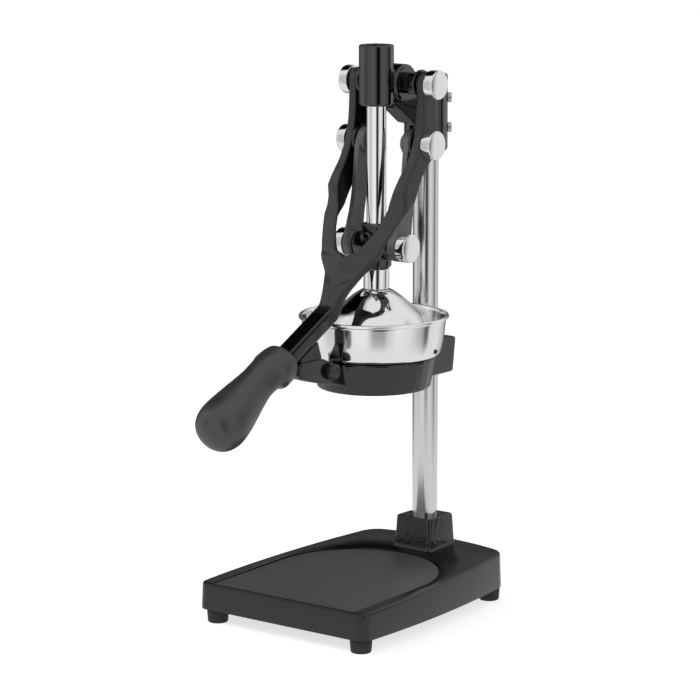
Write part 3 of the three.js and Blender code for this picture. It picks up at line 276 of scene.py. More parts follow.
class Finish:
    def __init__(self, name, colour, roughness, metallic=0.0):
        self.material = bpy.data.materials.new(name)
        self.material.use_nodes = True
        self.tree = self.material.node_tree
        self.shader = self.tree.nodes["Principled BSDF"]
        self.shader.inputs["Base Color"].default_value = (*colour, 1)
        self.shader.inputs["Roughness"].default_value = roughness
        self.shader.inputs["Metallic"].default_value = metallic
        self.colour = colour
        self.place = self.tree.nodes.new("ShaderNodeTexCoord").outputs["Object"]
        self.height = None

    def link(self, a, b):
        self.tree.links.new(a, b)

    def noise(self, scale, detail=2.0, stretch=(1, 1, 1)):
        mapping = self.tree.nodes.new("ShaderNodeMapping")
        mapping.inputs["Scale"].default_value = stretch
        texture = self.tree.nodes.new("ShaderNodeTexNoise")
        texture.inputs["Scale"].default_value = scale
        texture.inputs["Detail"].default_value = detail
        self.link(self.place, mapping.inputs["Vector"])
        self.link(mapping.outputs["Vector"], texture.inputs["Vector"])
        return texture.outputs["Fac"]

    def cells(self, scale):
        texture = self.tree.nodes.new("ShaderNodeTexVoronoi")
        texture.inputs["Scale"].default_value = scale
        self.link(self.place, texture.inputs["Vector"])
        return texture.outputs["Distance"]

    def spread(self, factor, low, high, start=0.3, end=0.7):
        node = self.tree.nodes.new("ShaderNodeMapRange")
        node.inputs["From Min"].default_value = start
        node.inputs["From Max"].default_value = end
        node.inputs["To Min"].default_value = low
        node.inputs["To Max"].default_value = high
        self.link(factor, node.inputs["Value"])
        return node.outputs["Result"]

    def vary_roughness(self, factor, low, high):
        self.link(self.spread(factor, low, high), self.shader.inputs["Roughness"])
        return self

    def vary_colour(self, factor, low, high):
        mix = self.tree.nodes.new("ShaderNodeMix")
        mix.data_type = "RGBA"
        colours = [socket for socket in mix.inputs if socket.type == "RGBA"]
        colours[0].default_value = (*(c * low for c in self.colour), 1)
        colours[1].default_value = (*(min(c * high, 1) for c in self.colour), 1)
        self.link(self.spread(factor, 0, 1), mix.inputs[0])
        result = [socket for socket in mix.outputs if socket.type == "RGBA"][0]
        self.link(result, self.shader.inputs["Base Color"])
        return self

    def relief(self, factor, depth, strength=1.0, mask=None):
        bump = self.tree.nodes.new("ShaderNodeBump")
        bump.inputs["Strength"].default_value = strength
        if mask:
            self.link(mask, bump.inputs["Strength"])
        bump.inputs["Distance"].default_value = depth
        self.link(factor, bump.inputs["Height"])
        if self.height:
            self.link(self.height, bump.inputs["Normal"])
        self.height = bump.outputs["Normal"]
        self.link(self.height, self.shader.inputs["Normal"])
        return self

    def gloss(self, level):
        self.shader.inputs["Specular IOR Level"].default_value = level
        return self

    def mask(self, name):
        """The mesh's attribute of that name, 0 where it has none."""
        node = self.tree.nodes.new("ShaderNodeAttribute")
        node.attribute_name = name
        return node.outputs["Fac"]

    def where(self, mask, name, value):
        """Another value for a shader input where the mask is 1."""
        target = self.shader.inputs[name]
        mix = self.tree.nodes.new("ShaderNodeMix")
        mix.data_type = "RGBA" if target.type == "RGBA" else "FLOAT"
        sockets = [socket for socket in mix.inputs if socket.type == target.type and socket.name != "Factor"]
        result = [socket for socket in mix.outputs if socket.type == target.type][0]
        if target.links:
            self.link(target.links[0].from_socket, sockets[0])
        else:
            sockets[0].default_value = target.default_value
        sockets[1].default_value = value
        self.link(mask, mix.inputs[0])
        self.link(result, target)

    def panel(self, colour, roughness):
        """Another colour and roughness where the mesh's zone attribute is 1: painted sheen on the glass rest,
        painted shade on the lever's shank.
        """
        mask = self.mask("panel")
        self.where(mask, "Base Color", (*colour, 1))
        self.where(mask, "Roughness", roughness)
        return self

    def recess(self, colour, level):
        """Painted shade: darker and duller where the mesh's attribute of that name is 1."""
        mask = self.mask("recess")
        self.where(mask, "Base Color", (*colour, 1))
        self.where(mask, "Specular IOR Level", level)
        return self


FINISHES = {}


def make_enamel(name, colour, smoothness, gloss, level):
    """Thick gloss paint on a casting: a soft wave, fine specks and slightly uneven gloss."""
    finish = Finish(name, colour, gloss)
    finish.vary_roughness(finish.noise(55, 3), gloss * 0.8, gloss * 1.3)
    finish.vary_colour(finish.noise(24, 2), 0.9, 1.15)
    finish.relief(finish.noise(260, 2), smoothness * MM, 0.5)
    finish.relief(finish.noise(1400, 1), smoothness * 0.12 * MM, 0.35)
    finish.relief(finish.noise(240, 3), 0.7 * MM, 1.0, finish.mask("cast"))
    return finish.gloss(level)


def make_chrome(name, colour):
    finish = Finish(name, colour, 0.05, 1.0)
    finish.vary_roughness(finish.noise(70, 4), 0.035, 0.085)
    finish.relief(finish.noise(90, 2), 0.006 * MM, 0.4)
    return finish.material


def make_drawn_chrome(name, colour, roughness):
    """Chrome on a drawn bar, with faint lines along it."""
    finish = Finish(name, colour, roughness, 1.0)
    finish.vary_roughness(finish.noise(1200, 3, (1, 1, 0.012)), roughness * 0.8, roughness * 1.6)
    finish.relief(finish.noise(900, 2, (1, 1, 0.01)), 0.004 * MM, 0.4)
    return finish.material


def make_cup_steel(name, colour):
    """Polished sheet steel, with the faint rings that spinning leaves."""
    finish = Finish(name, colour, 0.1, 1.0)
    finish.vary_roughness(finish.noise(45, 4, (1, 1, 60)), 0.08, 0.15)
    finish.relief(finish.noise(30, 2, (1, 1, 70)), 0.006 * MM, 0.35)
    return finish.material


def make_satin_steel(name, colour):
    finish = Finish(name, colour, 0.28, 1.0)
    finish.vary_roughness(finish.noise(400, 4, (6, 1, 1)), 0.2, 0.36)
    finish.vary_colour(finish.noise(120, 3), 0.92, 1.05)
    finish.relief(finish.noise(2500, 2, (8, 1, 1)), 0.006 * MM, 0.5)
    return finish.material


def make_zinc(name, colour):
    finish = Finish(name, colour, 0.35, 1.0)
    finish.vary_roughness(finish.noise(900, 3), 0.27, 0.46)
    finish.vary_colour(finish.cells(700), 0.85, 1.08)
    finish.relief(finish.noise(2200, 2), 0.01 * MM, 0.5)
    return finish.material


def make_bronze(name, colour):
    finish = Finish(name, colour, 0.3, 1.0)
    finish.vary_roughness(finish.noise(300, 3, (1, 1, 12)), 0.24, 0.42)
    finish.vary_colour(finish.noise(90, 3), 0.8, 1.1)
    finish.relief(finish.noise(2200, 2, (1, 1, 6)), 0.008 * MM, 0.5)
    return finish.material


def make_grip_rubber(name, colour):
    """Moulded grip: fine leathery grain, with a soft sheen where hands polish it."""
    finish = Finish(name, colour, 0.38)
    finish.vary_roughness(finish.noise(38, 3), 0.33, 0.42)
    finish.vary_colour(finish.noise(160, 4), 0.9, 1.12)
    finish.relief(finish.cells(1500), 0.015 * MM, 0.25)
    finish.relief(finish.noise(700, 3), 0.015 * MM, 0.25)
    return finish.gloss(0.8).material


def make_foot_rubber(name, colour):
    finish = Finish(name, colour, 0.65)
    finish.vary_roughness(finish.noise(90, 3), 0.58, 0.75)
    finish.vary_colour(finish.noise(300, 3), 0.85, 1.3)
    finish.relief(finish.noise(1300, 3), 0.05 * MM, 0.5)
    return finish.material


def make_finishes(colours):
    FINISHES.update({
        # The castings' web gets painted shade: its reflections are cut there
        "enamel": make_enamel("Gloss enamel", colours.enamel, 0.03, 0.10, 1.0)
        .recess(colours.enamel, 0.12).material,
        "ring_enamel": make_enamel("Ring enamel", colours.enamel, 0.03, 0.10, 0.72).material,
        # The glass rest's floor is rougher, and its lighter grey is painted sheen
        "base_enamel": make_enamel("Base enamel", colours.enamel, 0.05, 0.17, 0.6)
        .panel(colours.rest_sheen_grey, 0.42).material,
        # The lever's shank is glossier and takes a darker black as painted shade; the arms' inner faces get
        # painted shade
        "lever_enamel": make_enamel("Lever enamel", colours.lever_enamel, 0.03, 0.35, 0.6)
        .panel(colours.enamel, 0.12).recess(colours.enamel, 0.1).material,
        "link_enamel": make_enamel("Link enamel", colours.link_enamel, 0.03, 0.35, 0.7).material,
        "chrome": make_chrome("Chrome", colours.chrome),
        "drawn_chrome": make_drawn_chrome("Drawn chrome", colours.chrome, 0.05),
        "column_chrome": make_drawn_chrome("Column chrome", colours.column_chrome, 0.16),
        "cup_steel": make_cup_steel("Cup steel", colours.cup_steel),
        "satin_steel": make_satin_steel("Satin steel", colours.satin_steel),
        "zinc": make_zinc("Zinc plate", colours.zinc),
        "bronze": make_bronze("Bearing bronze", colours.bronze),
        "grip_rubber": make_grip_rubber("Grip rubber", colours.grip_rubber),
        "foot_rubber": make_foot_rubber("Foot rubber", colours.foot_rubber),
    })


# Placing finished pieces on the solid model


def hand_over(piece, finish, slot, body, *nodes):
    """Gives a finished piece its material and body, and hides the nodes that it stands for. Its slot is not
    used.
    """
    piece.data.materials.clear()
    piece.data.materials.append(FINISHES[finish])
    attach(piece, body)
    if nodes:
        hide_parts(*nodes)
    return piece


def copy_of(name, node):
    """A welded copy of a node's mesh."""
    piece = bpy.data.objects.new(name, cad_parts[node].data.copy())
    return tidy_mesh(piece)


def cast_copy(name, node, sizes, finish, body, grain=1.0, rounds=1.0):
    """A casting: the node's solid with every edge and inner corner softened."""
    piece = soften(copy_of(name, node), sizes.casting_grain * grain, round(sizes.casting_rounds * rounds))
    return hand_over(piece, finish, "enamel", body, node)


def machined_copy(name, node, finish, slot, body, edge=0.25 * MM):
    """A machined part: the node's solid with its sharp edges broken."""
    piece = copy_of(name, node)
    bevel = piece.modifiers.new("Edges", "BEVEL")
    bevel.width = edge
    bevel.segments = 2
    bevel.limit_method = "ANGLE"
    bevel.angle_limit = math.radians(40)
    settle(piece, 38)
    return hand_over(piece, finish, slot, body, node)


def copies_tree():
    """Puts copies of a part left and right of the middle, on one row or two, turned to face outwards."""
    tree = bpy.data.node_groups.new("Copies left and right", "GeometryNodeTree")
    new = tree.interface.new_socket
    new("Geometry", in_out="INPUT", socket_type="NodeSocketGeometry")
    for label in ("Front half spacing", "Rear half spacing", "Front place", "Rear place"):
        new(label, in_out="INPUT", socket_type="NodeSocketFloat")
    new("Rows", in_out="INPUT", socket_type="NodeSocketInt")
    new("Finish", in_out="INPUT", socket_type="NodeSocketMaterial")
    new("Geometry", in_out="OUTPUT", socket_type="NodeSocketGeometry")
    add = tree.nodes.new
    link = tree.links.new

    def math_node(operation, a, b):
        node = add("ShaderNodeMath")
        node.operation = operation
        for socket, value in zip(node.inputs, (a, b)):
            if isinstance(value, (int, float)):
                socket.default_value = value
            else:
                link(value, socket)
        return node.outputs[0]

    def by_row(front, rear):
        node = add("ShaderNodeMapRange")
        link(row, node.inputs["Value"])
        link(given.outputs[front], node.inputs["To Min"])
        link(given.outputs[rear], node.inputs["To Max"])
        return node.outputs["Result"]

    given = add("NodeGroupInput")
    index = add("GeometryNodeInputIndex").outputs[0]
    side = math_node("MODULO", index, 2)
    row = math_node("FLOOR", math_node("DIVIDE", index, 2), 0)
    sign = math_node("SUBTRACT", 1, math_node("MULTIPLY", side, 2))
    spot = add("ShaderNodeCombineXYZ")
    link(math_node("MULTIPLY", sign, by_row("Front half spacing", "Rear half spacing")), spot.inputs[0])
    link(by_row("Front place", "Rear place"), spot.inputs[1])
    points = add("GeometryNodePoints")
    link(math_node("MULTIPLY", given.outputs["Rows"], 2), points.inputs["Count"])
    link(spot.outputs[0], points.inputs["Position"])
    turn = add("FunctionNodeEulerToRotation")
    euler = add("ShaderNodeCombineXYZ")
    link(math_node("MULTIPLY", side, math.pi), euler.inputs[2])
    link(euler.outputs[0], turn.inputs[0])
    instances = add("GeometryNodeInstanceOnPoints")
    link(points.outputs[0], instances.inputs["Points"])
    link(given.outputs["Geometry"], instances.inputs["Instance"])
    link(turn.outputs[0], instances.inputs["Rotation"])
    real = add("GeometryNodeRealizeInstances")
    link(instances.outputs[0], real.inputs[0])
    paint = add("GeometryNodeSetMaterial")
    link(real.outputs[0], paint.inputs["Geometry"])
    link(given.outputs["Finish"], paint.inputs["Material"])
    result = add("NodeGroupOutput")
    link(paint.outputs[0], result.inputs[0])
    return tree


def copies(piece, finish, front, rear=None):
    """The piece at (half spacing, place) of the front row, and of the rear row if given."""
    tree = bpy.data.node_groups.get("Copies left and right") or copies_tree()
    modifier = piece.modifiers.new("Copies", "NODES")
    modifier.node_group = tree
    values = {
        "Front half spacing": front[0], "Front place": front[1],
        "Rear half spacing": (rear or front)[0], "Rear place": (rear or front)[1],
        "Rows": 2 if rear else 1, "Finish": FINISHES[finish],
    }
    for item in tree.interface.items_tree:
        if item.in_out == "INPUT" and item.name in values:
            modifier[item.identifier] = values[item.name]
    return settle(piece)


def pair(name, stem, profile_of, finish, slot, body, steps):
    """Left and right turned parts on one pin, from the right one's place and size."""
    middle, half = box_of(f"{stem}_right")
    shape = Shape().turn(profile_of(middle.x - half.x, middle.x + half.x, half.y),
                         along((0, 0, middle.z), (1, 0, 0)), steps)
    piece = copies(shape.build(name), finish, (0.0, middle.y))
    return hand_over(piece, finish, slot, body, *(f"{stem}_{side}" for side in SIDES))


def socket_screw(shape, place, radius, height, reach, shank, steps=48):
    """A cap screw: shank from -reach to 0, head above it, with a hexagon socket."""
    def ring(r, t):
        return [place(r * math.cos(a), r * math.sin(a), t) for a in angles]

    def hexagon(r, t):
        spans = [r / math.cos((a + math.pi / 6) % (math.pi / 3) - math.pi / 6) for a in angles]
        return [place(s * math.cos(a), s * math.sin(a), t) for s, a in zip(spans, angles)]

    angles = [2 * math.pi * k / steps for k in range(steps)]
    edge = radius * 0.12
    socket = radius * 0.5
    shape.loft([
        ring(shank, -reach), ring(shank, 0), ring(radius, 0), ring(radius, height - edge),
        ring(radius - edge * 0.3, height - edge * 0.3), ring(radius - edge, height),
        hexagon(socket, height), hexagon(socket, height * 0.35)])
    return shape


# Base plate


BASE_HALF_WIDTH = 90.45 * MM
BASE_WIDEST = -86 * MM
BASE_FRONT = -133 * MM
BASE_REAR = 100 * MM
BASE_CENTRE = (0, -30 * MM)
SIDE_BOW = 920 * MM
REAR_BOW = 250 * MM
FRONT_CORNER = 9 * MM
REAR_CORNER = 21 * MM
BASE_DRAFT = 0.9 * MM
FRONT_THICKNESS = 23.4 * MM
BASE_RISE = 7.5 * MM
BASE_WALL = 6 * MM
BASE_PLATE = 7 * MM
REST_RADIUS = 76 * MM
REST_MIDDLE = -36 * MM
REST_LIP = 3 * MM
REST_CORNER = 4 * MM
REST_SEAM = 0.2 * MM
PEDESTAL_FOOT = 19.4 * MM
PEDESTAL_TOP = 17.8 * MM
PEDESTAL_CORNER = 3.4 * MM
PEDESTAL_SINK = 3 * MM
PEDESTAL_TOE = 1.8 * MM
FOOT_BOSS = 9.5 * MM
BOLT_BOSS = 17 * MM
SEAT_GAP = 0.3 * MM
# How strongly the cast skin shows through the paint
PEDESTAL_RELIEF = 0.55
SIDE_RELIEF = 0.12


def arc(centre, radius, start, end, steps):
    return [(centre[0] + radius * math.cos(start + (end - start) * k / steps),
             centre[1] + radius * math.sin(start + (end - start) * k / steps)) for k in range(steps + 1)]


def mirror_half(half):
    """A closed outline from its right half, which runs from the front middle to the rear middle."""
    left = [(-x, y) for x, y in reversed(half)]
    return half + [p for p in left if abs(p[0]) > 1e-7]


def base_outline(inset):
    side = Vector((BASE_HALF_WIDTH - SIDE_BOW, BASE_WIDEST))
    rear = Vector((0, BASE_REAR - REAR_BOW))
    front_y = BASE_FRONT + FRONT_CORNER
    front_x = side.x + math.sqrt((SIDE_BOW - FRONT_CORNER) ** 2 - (front_y - side.y) ** 2)
    a, b = SIDE_BOW - REAR_CORNER, REAR_BOW - REAR_CORNER
    span = rear - side
    reach = (a * a - b * b + span.length_squared) / (2 * span.length)
    unit = span.normalized()
    corner = side + unit * reach + Vector((-unit.y, unit.x)) * math.sqrt(a * a - reach * reach)
    side_start = math.atan2(front_y - side.y, front_x - side.x)
    side_end = math.atan2(corner.y - side.y, corner.x - side.x)
    rear_start = math.atan2(corner.y - rear.y, corner.x - rear.x)
    half = [(front_x * k / 6, BASE_FRONT + inset) for k in range(6)]
    half += arc((front_x, front_y), FRONT_CORNER - inset, -math.pi / 2, side_start, 10)
    half += arc(side, SIDE_BOW - inset, side_start, side_end, 30)[1:]
    half += arc(corner, REAR_CORNER - inset, side_end, rear_start, 14)[1:]
    half += arc(rear, REAR_BOW - inset, rear_start, math.pi / 2, 12)[1:]
    return mirror_half(half)


def rest_outline(grow):
    """The D of the glass rest."""
    front_y = BASE_FRONT + REST_LIP
    radius = REST_RADIUS + grow
    half = [(0, front_y - grow)]
    half += arc((REST_RADIUS - REST_CORNER, front_y + REST_CORNER), REST_CORNER + grow, -math.pi / 2, 0, 8)
    half += arc((0, REST_MIDDLE), radius, 0, math.pi / 2, 40)
    return mirror_half(half)


def top_at(y):
    """Height of the base's top, which rises to the rear."""
    floor_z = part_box("foot_front_left")[1].z + SEAT_GAP
    return floor_z + FRONT_THICKNESS + BASE_RISE * (y - BASE_FRONT) / (BASE_REAR - BASE_FRONT)


def seen_from(centre, outline, angles):
    """The outline's points in the given directions from the centre, so that two outlines match up."""
    polar = sorted((math.atan2(y - centre[1], x - centre[0]), x, y) for x, y in outline)
    first, last = polar[0], polar[-1]
    polar = [(last[0] - 2 * math.pi, *last[1:])] + polar + [(first[0] + 2 * math.pi, *first[1:])]
    found = []
    k = 0
    for angle in angles:
        while polar[k + 1][0] < angle:
            k += 1
        (a0, x0, y0), (a1, x1, y1) = polar[k], polar[k + 1]
        ux, uy = math.cos(angle), math.sin(angle)
        dx, dy = x1 - x0, y1 - y0
        cross = ux * dy - uy * dx
        reach = ((x0 - centre[0]) * dy - (y0 - centre[1]) * dx) / cross
        found.append((centre[0] + ux * reach, centre[1] + uy * reach))
    return found


def plate_rings(sizes):
    """The base plate from its hollow underside up to the floor of the glass rest."""
    angles = sorted({round(math.atan2(y - BASE_CENTRE[1], x - BASE_CENTRE[0]), 5)
                     for x, y in base_outline(0) + rest_outline(0)})
    floor_z = top_at(BASE_FRONT) - FRONT_THICKNESS
    rest_front, rest_rear = BASE_FRONT + REST_LIP, REST_MIDDLE + REST_RADIUS

    def place(points, height):
        return [ROD_PLACE + Vector((x, y, height(y))) for x, y in points]

    def outer(inset, height):
        return place(seen_from(BASE_CENTRE, base_outline(inset), angles), height)

    def depth(y):
        rearward = (y - rest_front) / (rest_rear - rest_front)
        return sizes.rest_front_depth + (sizes.rest_rear_depth - sizes.rest_front_depth) * rearward

    def rest(grow, height):
        return place(seen_from(BASE_CENTRE, rest_outline(grow), angles), height)

    edge = sizes.base_edge
    groove = sizes.rest_groove
    rings = [
        outer(BASE_WALL + BASE_DRAFT, lambda y: top_at(y) - BASE_PLATE),
        outer(BASE_WALL, lambda y: floor_z),
        outer(edge * 0.5, lambda y: floor_z),
        outer(edge * 0.1, lambda y: floor_z + edge * 0.2),
        outer(0, lambda y: floor_z + edge * 0.6)]
    for k in range(7):
        turn = k / 6 * math.pi / 2
        rings.append(outer(BASE_DRAFT + edge * (1 - math.cos(turn)),
                           lambda y, turn=turn: top_at(y) - edge * (1 - math.sin(turn))))
    return rings + [
        rest(groove * 0.9, lambda y: top_at(y)),
        rest(groove * 0.5, lambda y: top_at(y) - groove * 0.2),
        rest(groove * 0.35, lambda y: top_at(y) - groove - depth(y)),
        rest(-groove * 0.35, lambda y: top_at(y) - groove - depth(y)),
        rest(-groove * 0.6, lambda y: top_at(y) - depth(y) - groove * 0.15),
        rest(-groove, lambda y: top_at(y) - depth(y))]


def pedestal_rings(sizes, foot_z):
    """The pedestal, its foot flaring into the plate and its top edge rounded."""
    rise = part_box("base")[1].z - foot_z
    flare = sizes.pedestal_fillet
    levels = [(PEDESTAL_FOOT + flare * 1.3, 0.0)]
    for k in range(7):
        turn = k / 6 * math.pi / 2
        levels.append((PEDESTAL_FOOT + flare * (1 - math.sin(turn)),
                       PEDESTAL_TOE + flare * 1.6 * (1 - math.cos(turn))))
    for out, below in ((0.5, 2), (0.1, 0.7), (-0.5, 0.15), (-1.2, 0)):
        levels.append((PEDESTAL_TOP + out * MM, rise - below * MM))
    return [[COLUMN_PLACE + Vector((x, y, foot_z + height))
             for x, y in rounded_square(half, half, PEDESTAL_CORNER)] for half, height in levels]


def add_boss(shape, place, radius, low, high, edge):
    """A round boss on the underside, from its face up into the plate."""
    shape.turn(rounded([(0, low, 0), (radius, low, edge), (radius, high, 0), (0, high, 0)]),
               along(place, (0, 0, 1)), 64)


def make_base(sizes):
    foot_z = top_at(COLUMN_PLACE.y - ROD_PLACE.y) - PEDESTAL_SINK
    shape = Shape().loft(plate_rings(sizes)).loft(pedestal_rings(sizes, foot_z))
    floor_z = top_at(BASE_FRONT) - FRONT_THICKNESS
    for corner in CORNERS:
        middle, _ = box_of(f"foot_{corner}")
        under = top_at(middle.y - ROD_PLACE.y) - BASE_PLATE
        add_boss(shape, (middle.x, middle.y, 0), FOOT_BOSS, floor_z + SEAT_GAP, under + MM, 0.8 * MM)
    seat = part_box("column_washer")[1].z + SEAT_GAP
    add_boss(shape, COLUMN_PLACE, BOLT_BOSS, seat, foot_z + 2 * MM, MM)
    piece = shape.build("base_plate", 40)
    # The glass rest's floor gets its lighter grey as painted sheen
    paint(piece.data, "panel", rest_sheen_zone)
    paint(piece.data, "cast", roughness_of_cast)
    return hand_over(piece, "base_enamel", "enamel", "stand", "base")


def rest_sheen_zone(vertex):
    """1 on the floor of the glass rest, which has a satin finish and a lighter grey that is painted sheen."""
    spot = vertex.co - ROD_PLACE
    reach = Vector((spot.x, spot.y - REST_MIDDLE)).length if spot.y > REST_MIDDLE else abs(spot.x)
    inside = reach < REST_RADIUS - REST_SEAM and spot.y > BASE_FRONT + REST_LIP + REST_SEAM
    return 1.0 if inside and spot.z > max(top_at(spot.y) - 2 * MM, FRONT_THICKNESS) else 0.0


def roughness_of_cast(vertex):
    """How rough the cast skin is under the paint: most on the pedestal, a little on the sides."""
    above = vertex.co.z - top_at(vertex.co.y - ROD_PLACE.y)
    if above > 2 * MM:
        return PEDESTAL_RELIEF
    return SIDE_RELIEF if above < -3 * MM else 0.0


def rounded_square(half_x, half_y, radius, steps=8):
    points = []
    for k, (sx, sy) in enumerate(((1, 1), (-1, 1), (-1, -1), (1, -1))):
        centre = (sx * (half_x - radius), sy * (half_y - radius))
        points += arc(centre, radius, k * math.pi / 2, (k + 1) * math.pi / 2, steps)
    return points


FOOT_BORE = 2.4 * MM
FOOT_RECESS = 4.6 * MM
FOOT_DRAFT = 0.7 * MM
# Head radius, head height and shank radius
FOOT_SCREW = (4.2 * MM, 2.8 * MM, 2 * MM)


def make_feet(sizes):
    middle, half = box_of("foot_front_right")
    rear, _ = box_of("foot_rear_right")
    radius, top = half.y, middle.z + half.z
    floor = radius - FOOT_DRAFT
    foot = Shape().turn(rounded([
        (FOOT_BORE, top, 0), (radius - 0.5 * MM, top, 0.5 * MM), (radius, top - 1.5 * MM, MM),
        (floor, 1.6 * MM, MM), (floor - 0.4 * MM, 0, sizes.foot_edge), (FOOT_RECESS, 0, 0.3 * MM),
        (FOOT_RECESS, 4.2 * MM, 0), (FOOT_BORE, 4.4 * MM, 0), (FOOT_BORE, top, 0)]),
        along((0, 0, 0), (0, 0, 1)), 96)
    rows = ((middle.x, middle.y), (rear.x, rear.y))
    feet = copies(foot.build("feet"), "foot_rubber", *rows)
    hand_over(feet, "foot_rubber", "foot_rubber", "stand", *(f"foot_{c}" for c in CORNERS))
    low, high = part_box("foot_screw_front_right")
    radius, head, shank = FOOT_SCREW
    seat = along((0, 0, low.z + head), (0, 0, -1))
    screw = socket_screw(Shape(), seat, radius, head, high.z - low.z - head, shank)
    screws = copies(screw.build("foot_screws"), "zinc", *rows)
    hand_over(screws, "zinc", "zinc", "stand", *(f"foot_screw_{c}" for c in CORNERS))


# Column, head casting and their screws


def bar_profile(low, high, radius, edge):
    return rounded([(0, low, 0), (radius, low, edge), (radius, high, edge), (0, high, 0)])


def make_column(sizes):
    low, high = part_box("column")
    bar = bar_profile(low.z, high.z, (high.x - low.x) / 2, MM)
    shape = Shape().turn(bar, along(COLUMN_PLACE, (0, 0, 1)), sizes.turning_steps)
    hand_over(shape.build("column_bar"), "column_chrome", "chrome", "stand", "column")
    machined_copy("column_bolt_head", "column_bolt", "zinc", "zinc", "stand", 0.4 * MM)
    machined_copy("column_bolt_washer", "column_washer", "zinc", "zinc", "stand", 0.2 * MM)


CLAMP_ANGLE = math.radians(40)
# Head radius, head height, length below the head and shank radius
CLAMP_SCREW = (4.2 * MM, 3.2 * MM, 6 * MM, 2.5 * MM)
SOCKET_RADIUS = 18.8 * MM
# The web between guide boss and socket lies in shade, which is painted on it as darker reflections
WEB_START = 13 * MM
WEB_TOP = 13 * MM
WEB_BLEND = 2 * MM


def make_head(sizes):
    head = cast_copy("head_piece", "head_casting", sizes, "enamel", "stand", 0.8, 0.6)
    fulcrum = box_of("upper_shaft")[0].z

    # Painted shade on the web: 1 inside it, fading out over the blend at its edges
    def web_shade_zone(vertex):
        behind = vertex.co.y - ROD_PLACE.y - WEB_START
        before = COLUMN_PLACE.y - SOCKET_RADIUS - vertex.co.y
        below = fulcrum - WEB_TOP - vertex.co.z
        return clamped(min(behind, before, below) / WEB_BLEND)

    paint(head.data, "recess", web_shade_zone)
    machined_copy("head_bush", "guide_bush", "bronze", "bronze", "stand", 0.3 * MM)
    away = Vector((math.cos(CLAMP_ANGLE), math.sin(CLAMP_ANGLE), 0))
    for level in ("upper", "lower"):
        middle, _ = box_of(f"head_clamp_screw_{level}")
        seat = COLUMN_PLACE + away * (SOCKET_RADIUS + 0.1 * MM) + Vector((0, 0, middle.z))
        screw = socket_screw(Shape(), along(seat, away), *CLAMP_SCREW)
        hand_over(screw.build(f"head_screw_{level}"), "zinc", "zinc", "stand", f"head_clamp_screw_{level}")


# Ring bracket, lever rest, cup


REST_SHANK = 3 * MM
CUP_SHOULDER = 222.8 * MM
CUP_SEAT = 44.2 * MM
CUP_DRAIN = 9 * MM
CUP_OVERHANG = 2.5 * MM
COLUMN_CLEARANCE = 11.6 * MM


def make_ring(sizes):
    cast_copy("ring_arm", "ring_bracket", sizes, "ring_enamel", "stand", 1.0, 0.7)
    pad = soften(copy_of("lever_pad", "rest_pad"), 0.4 * MM, 6)
    hand_over(pad, "lever_enamel", "grip_rubber", "stand", "rest_pad")
    low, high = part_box("rest_screw")
    radius = (high.y - low.y) / 2
    seat = -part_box("rest_nut")[1].x
    reach = high.x - seat
    dome = rounded([
        (0, low.x, 0), (REST_SHANK, low.x, 0.3 * MM), (REST_SHANK, seat, 0), (radius, seat, 0.4 * MM),
        (radius, seat + reach * 0.5, 2.4 * MM), (radius * 0.72, seat + reach * 0.88, 2.5 * MM),
        (0, high.x, 0)], 6)
    middle = (low + high) / 2
    screw = Shape().turn(dome, along((0, middle.y, middle.z), (1, 0, 0)), 96)
    hand_over(screw.build("rest_stud", 50), "lever_enamel", "enamel", "stand", "rest_screw")
    machined_copy("rest_lock_nut", "rest_nut", "zinc", "zinc", "stand", 0.3 * MM)
    machined_copy("collar_screw", "collar_clamp_screw", "zinc", "zinc", "stand", 0.3 * MM)


def make_cup(sizes):
    low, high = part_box("steel_cup")
    centre = (low + high) / 2
    centre.y = low.y + (high.x - low.x) / 2
    rim = (high.x - low.x) / 2
    bead, sheet = sizes.cup_bead, sizes.cup_sheet
    wall_top = high.z - 2 * bead
    wall = rim - CUP_OVERHANG
    outside = curve_through([
        (wall * 0.862, CUP_SHOULDER + 0.3 * MM), (wall * 0.905, CUP_SHOULDER + 1.6 * MM),
        (wall * 0.935, CUP_SHOULDER + 4.6 * MM),
        (wall * 0.969, CUP_SHOULDER + (wall_top - CUP_SHOULDER) * 0.44), (wall, wall_top)], 8)
    bead_ring = [(rim - bead + bead * math.cos(a), high.z - bead + bead * math.sin(a))
                 for a in (math.radians(d) for d in range(-120, 165, 19))]
    inside = [(r - sheet, z + sheet * 0.3) for r, z in reversed(outside)]
    knee = low.z + 4.6 * MM
    profile = [
        (CUP_DRAIN, low.z), (CUP_SEAT - 3 * MM, knee), (CUP_SEAT, low.z + 7 * MM), (CUP_SEAT, CUP_SHOULDER),
        *outside, *bead_ring, *inside,
        (CUP_SEAT - sheet, CUP_SHOULDER + sheet), (CUP_SEAT - sheet, low.z + 7.4 * MM),
        (CUP_SEAT - 3.4 * MM, knee + sheet), (CUP_DRAIN, low.z + sheet)]
    shape = Shape().turn(profile, along((0, centre.y, 0), (0, 0, 1)), 180)
    for point in shape.verts:
        off = Vector((point.x, point.y - COLUMN_PLACE.y))
        if off.length < COLUMN_CLEARANCE and point.z > CUP_SHOULDER:
            off = off.normalized() * COLUMN_CLEARANCE
            point.x, point.y = off.x, COLUMN_PLACE.y + off.y
    hand_over(shape.build("cup_bowl", 50), "cup_steel", "chrome", "stand", "steel_cup")
    for side in SIDES:
        machined_copy(f"cup_stud_{side}", f"cup_rivet_{side}", "enamel", "enamel", "stand", 0.2 * MM)
    machined_copy("juice_strainer", "strainer", "satin_steel", "steel", "stand", 0.2 * MM)


# Lever: fork, shank and grip


BEND = Vector((0, -73.8 * MM, 271 * MM))
INNER_BLEND = 15 * MM
SLOPE = math.radians(28)
SHANK_THICKNESS = 14 * MM
SHANK_BLEND = 16 * MM
GRIP_START = 61 * MM
GRIP_LENGTH = 110 * MM
BULB_RADIUS = 21.8 * MM
